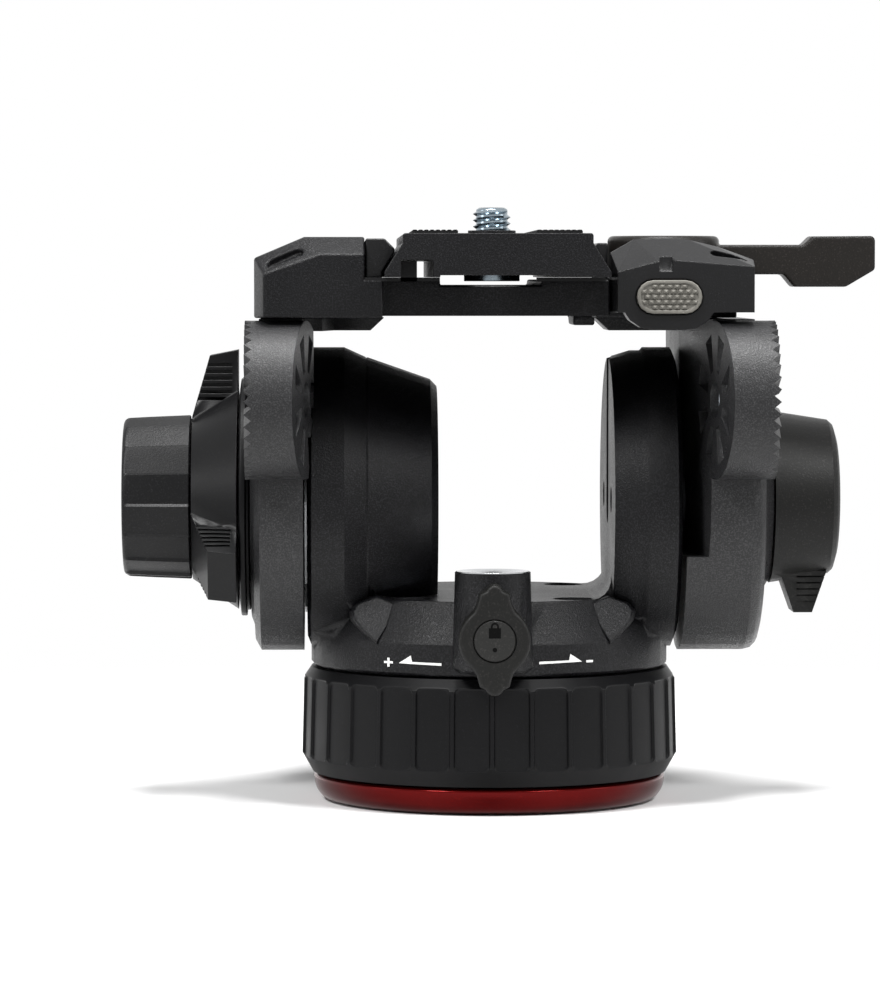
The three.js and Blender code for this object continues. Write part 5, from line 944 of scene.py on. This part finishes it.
# Release button: an oval cap with a raised rim round five rows of small pyramids, moulded in
# light grey.
button_grey = surface(
    "button_grey", (96, 94, 89), (118, 116, 110), 0.5, scale=2000, bump=0.01, specular=0.2,
)
restyle("oval_button", "release_button", 0.25, "release_button", button_grey)
button_low, button_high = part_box("release_button")
button_x, button_z = (button_low.x + button_high.x) / 2, (button_low.z + button_high.z) / 2
button_rim, button_recess = 0.9, 0.5
field_half_height = (button_high.z - button_low.z) / 2 / mm - button_rim
field_half_length = (button_high.x - button_low.x) / 2 / mm - button_rim
stud_rows, stud_pitch, stud_height, stud_sink = 5, 1.8, 0.95, 0.02
stud_reach, stud_margin, stud_share = 6, 0.45, 0.96
row_pitch = 2 * field_half_height / stud_rows
stud_turn = Matrix.Rotation(radians(90), 4, "X") @ Matrix.Rotation(radians(45), 4, "Z")
stud_size = Matrix.Diagonal((stud_pitch * stud_share, 1, row_pitch * stud_share, 1))
studs = bmesh.new()
for row in range(stud_rows):
    up = (row - (stud_rows - 1) / 2) * row_pitch
    for step in range(-stud_reach, stud_reach + 1):
        along = (step + (row % 2) / 2) * stud_pitch
        end_reach = abs(along) - (field_half_length - field_half_height)
        if hypot(max(end_reach, 0), up) > field_half_height - stud_margin:
            continue
        made = bmesh.ops.create_cone(
            studs, cap_ends=True, segments=4, radius1=0.5 ** 0.5 * mm, radius2=0,
            depth=stud_height * mm,
        )
        place = Matrix.Translation((
            button_x + along * mm,
            button_low.y + (button_recess - stud_height / 2 + stud_sink) * mm,
            button_z + up * mm,
        ))
        bmesh.ops.transform(studs, matrix=place @ stud_size @ stud_turn, verts=made["verts"])
bmesh.ops.recalc_face_normals(studs, faces=studs.faces)
settle("button_pyramids", studs, "release_button", button_grey, crease=10)

# Plate lever: a hub and a cranked handle, moulded in one in dark brown-black. It turns the cam
# behind the moving jaw, and a screw from below holds it to the platform.
lever_moulding = surface(
    "lever_moulding", (19, 17, 15), (36, 33, 31), 0.36, scale=2300, threshold=0.56, bump=0.02,
    specular=0.18, glint=0.06, edge=1.2,
)
restyle("cam_lever", "plate_lever", 0.5, "plate_lever", lever_moulding)

# Camera plate: an extruded aluminium dovetail, powder coated, with two ribbed rubber strips bonded
# into its top. The zinc-plated camera screw, with a three-eighths thread, turns in a thin collar.
restyle("dovetail_plate", "camera_plate", 0.15, "camera_plate", powder_coat)
strip_rubber = surface(
    "strip_rubber", (9, 9, 10), (22, 22, 22), 0.8, scale=1500, threshold=0.5, bump=0.04,
    specular=0.15,
)
rib_count, rib_gap, rib_depth, rib_round = 8, 0.4, 0.35, 0.1
for side in ("left", "right"):
    pad_low, pad_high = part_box(f"plate_pad_{side}")
    rib_pitch = (pad_high.x - pad_low.x) / rib_count
    section = [(pad_low.x, pad_low.z), (pad_high.x, pad_low.z)]
    for rib in reversed(range(rib_count)):
        left = pad_low.x + rib * rib_pitch
        right = left + rib_pitch
        floor_z = pad_high.z - rib_depth * mm
        section += [(right, floor_z)] if rib == rib_count - 1 else []
        section += [
            (right - rib_gap / 2 * mm, pad_high.z - rib_round * mm),
            (right - rib_gap * mm, pad_high.z), (left + rib_gap * mm, pad_high.z),
            (left + rib_gap / 2 * mm, pad_high.z - rib_round * mm), (left, floor_z),
        ]
    strip = bmesh.new()
    end_face = strip.faces.new([strip.verts.new((x, pad_low.y, z)) for x, z in section])
    extruded(strip, [end_face], (0, pad_high.y - pad_low.y, 0))
    bmesh.ops.recalc_face_normals(strip, faces=strip.faces)
    settle(f"rubber_strip_{side}", strip, "camera_plate", strip_rubber,
           [f"plate_pad_{side}"])
restyle("loose_collar", "screw_collar", 0.15, "screw_carrier", powder_coat)
zinc_plate = surface(
    "zinc_plate", (140, 152, 160), (188, 197, 203), 0.18, scale=900, bump=0.004, metallic=1.0,
)
screw_low, screw_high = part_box("camera_screw")
screw_place = ((screw_low.x + screw_high.x) / 2, (screw_low.y + screw_high.y) / 2, 0)
screw_foot, screw_top = screw_low.z / mm, screw_high.z / mm
head_radius, head_height = (screw_high.x - screw_low.x) / 2 / mm, 4.0
crest, root, thread_pitch = 4.74, 3.95, 25.4 / 16
neck_end, thread_start, thread_end = 141.0, 141.6, screw_top - 0.9
tip_height, tip_inset = 0.5, 0.8
stud = ease_edges(turned([
    (0, screw_foot), (head_radius, screw_foot), (head_radius, screw_foot + head_height),
    (crest, screw_foot + head_height), (crest, neck_end), (root, thread_start),
    (root, screw_top - tip_height), (root - tip_inset, screw_top), (0, screw_top),
], screw_place, steps=72), 0.2, steepest=40)
settle("plated_screw", stud, "camera_screw", zinc_plate, ["camera_screw"])
foot_sink, foot_half, crest_round, crest_half = 0.2, 0.72, 0.12, 0.1
thread = bmesh.new()
rib = [
    thread.verts.new((screw_place[0] + r * mm, screw_place[1], (thread_start + h) * mm))
    for r, h in (
        (root - foot_sink, -foot_half), (crest - crest_round, -crest_half), (crest, 0),
        (crest - crest_round, crest_half), (root - foot_sink, foot_half),
    )
]
rib_wire = [thread.edges.new(pair) for pair in zip(rib, rib[1:] + rib[:1])]
turn_steps = 48
steps = int((thread_end - thread_start) / thread_pitch * turn_steps)
bmesh.ops.spin(
    thread, geom=rib + rib_wire, cent=screw_place, axis=(0, 0, 1),
    dvec=(0, 0, thread_pitch / turn_steps * mm), angle=steps / turn_steps * 2 * pi, steps=steps,
    use_merge=False, use_duplicate=False,
)
bmesh.ops.holes_fill(thread, edges=[e for e in thread.edges if e.is_boundary], sides=0)
bmesh.ops.recalc_face_normals(thread, faces=thread.faces)
settle("screw_thread", thread, "camera_screw", zinc_plate, crease=50)
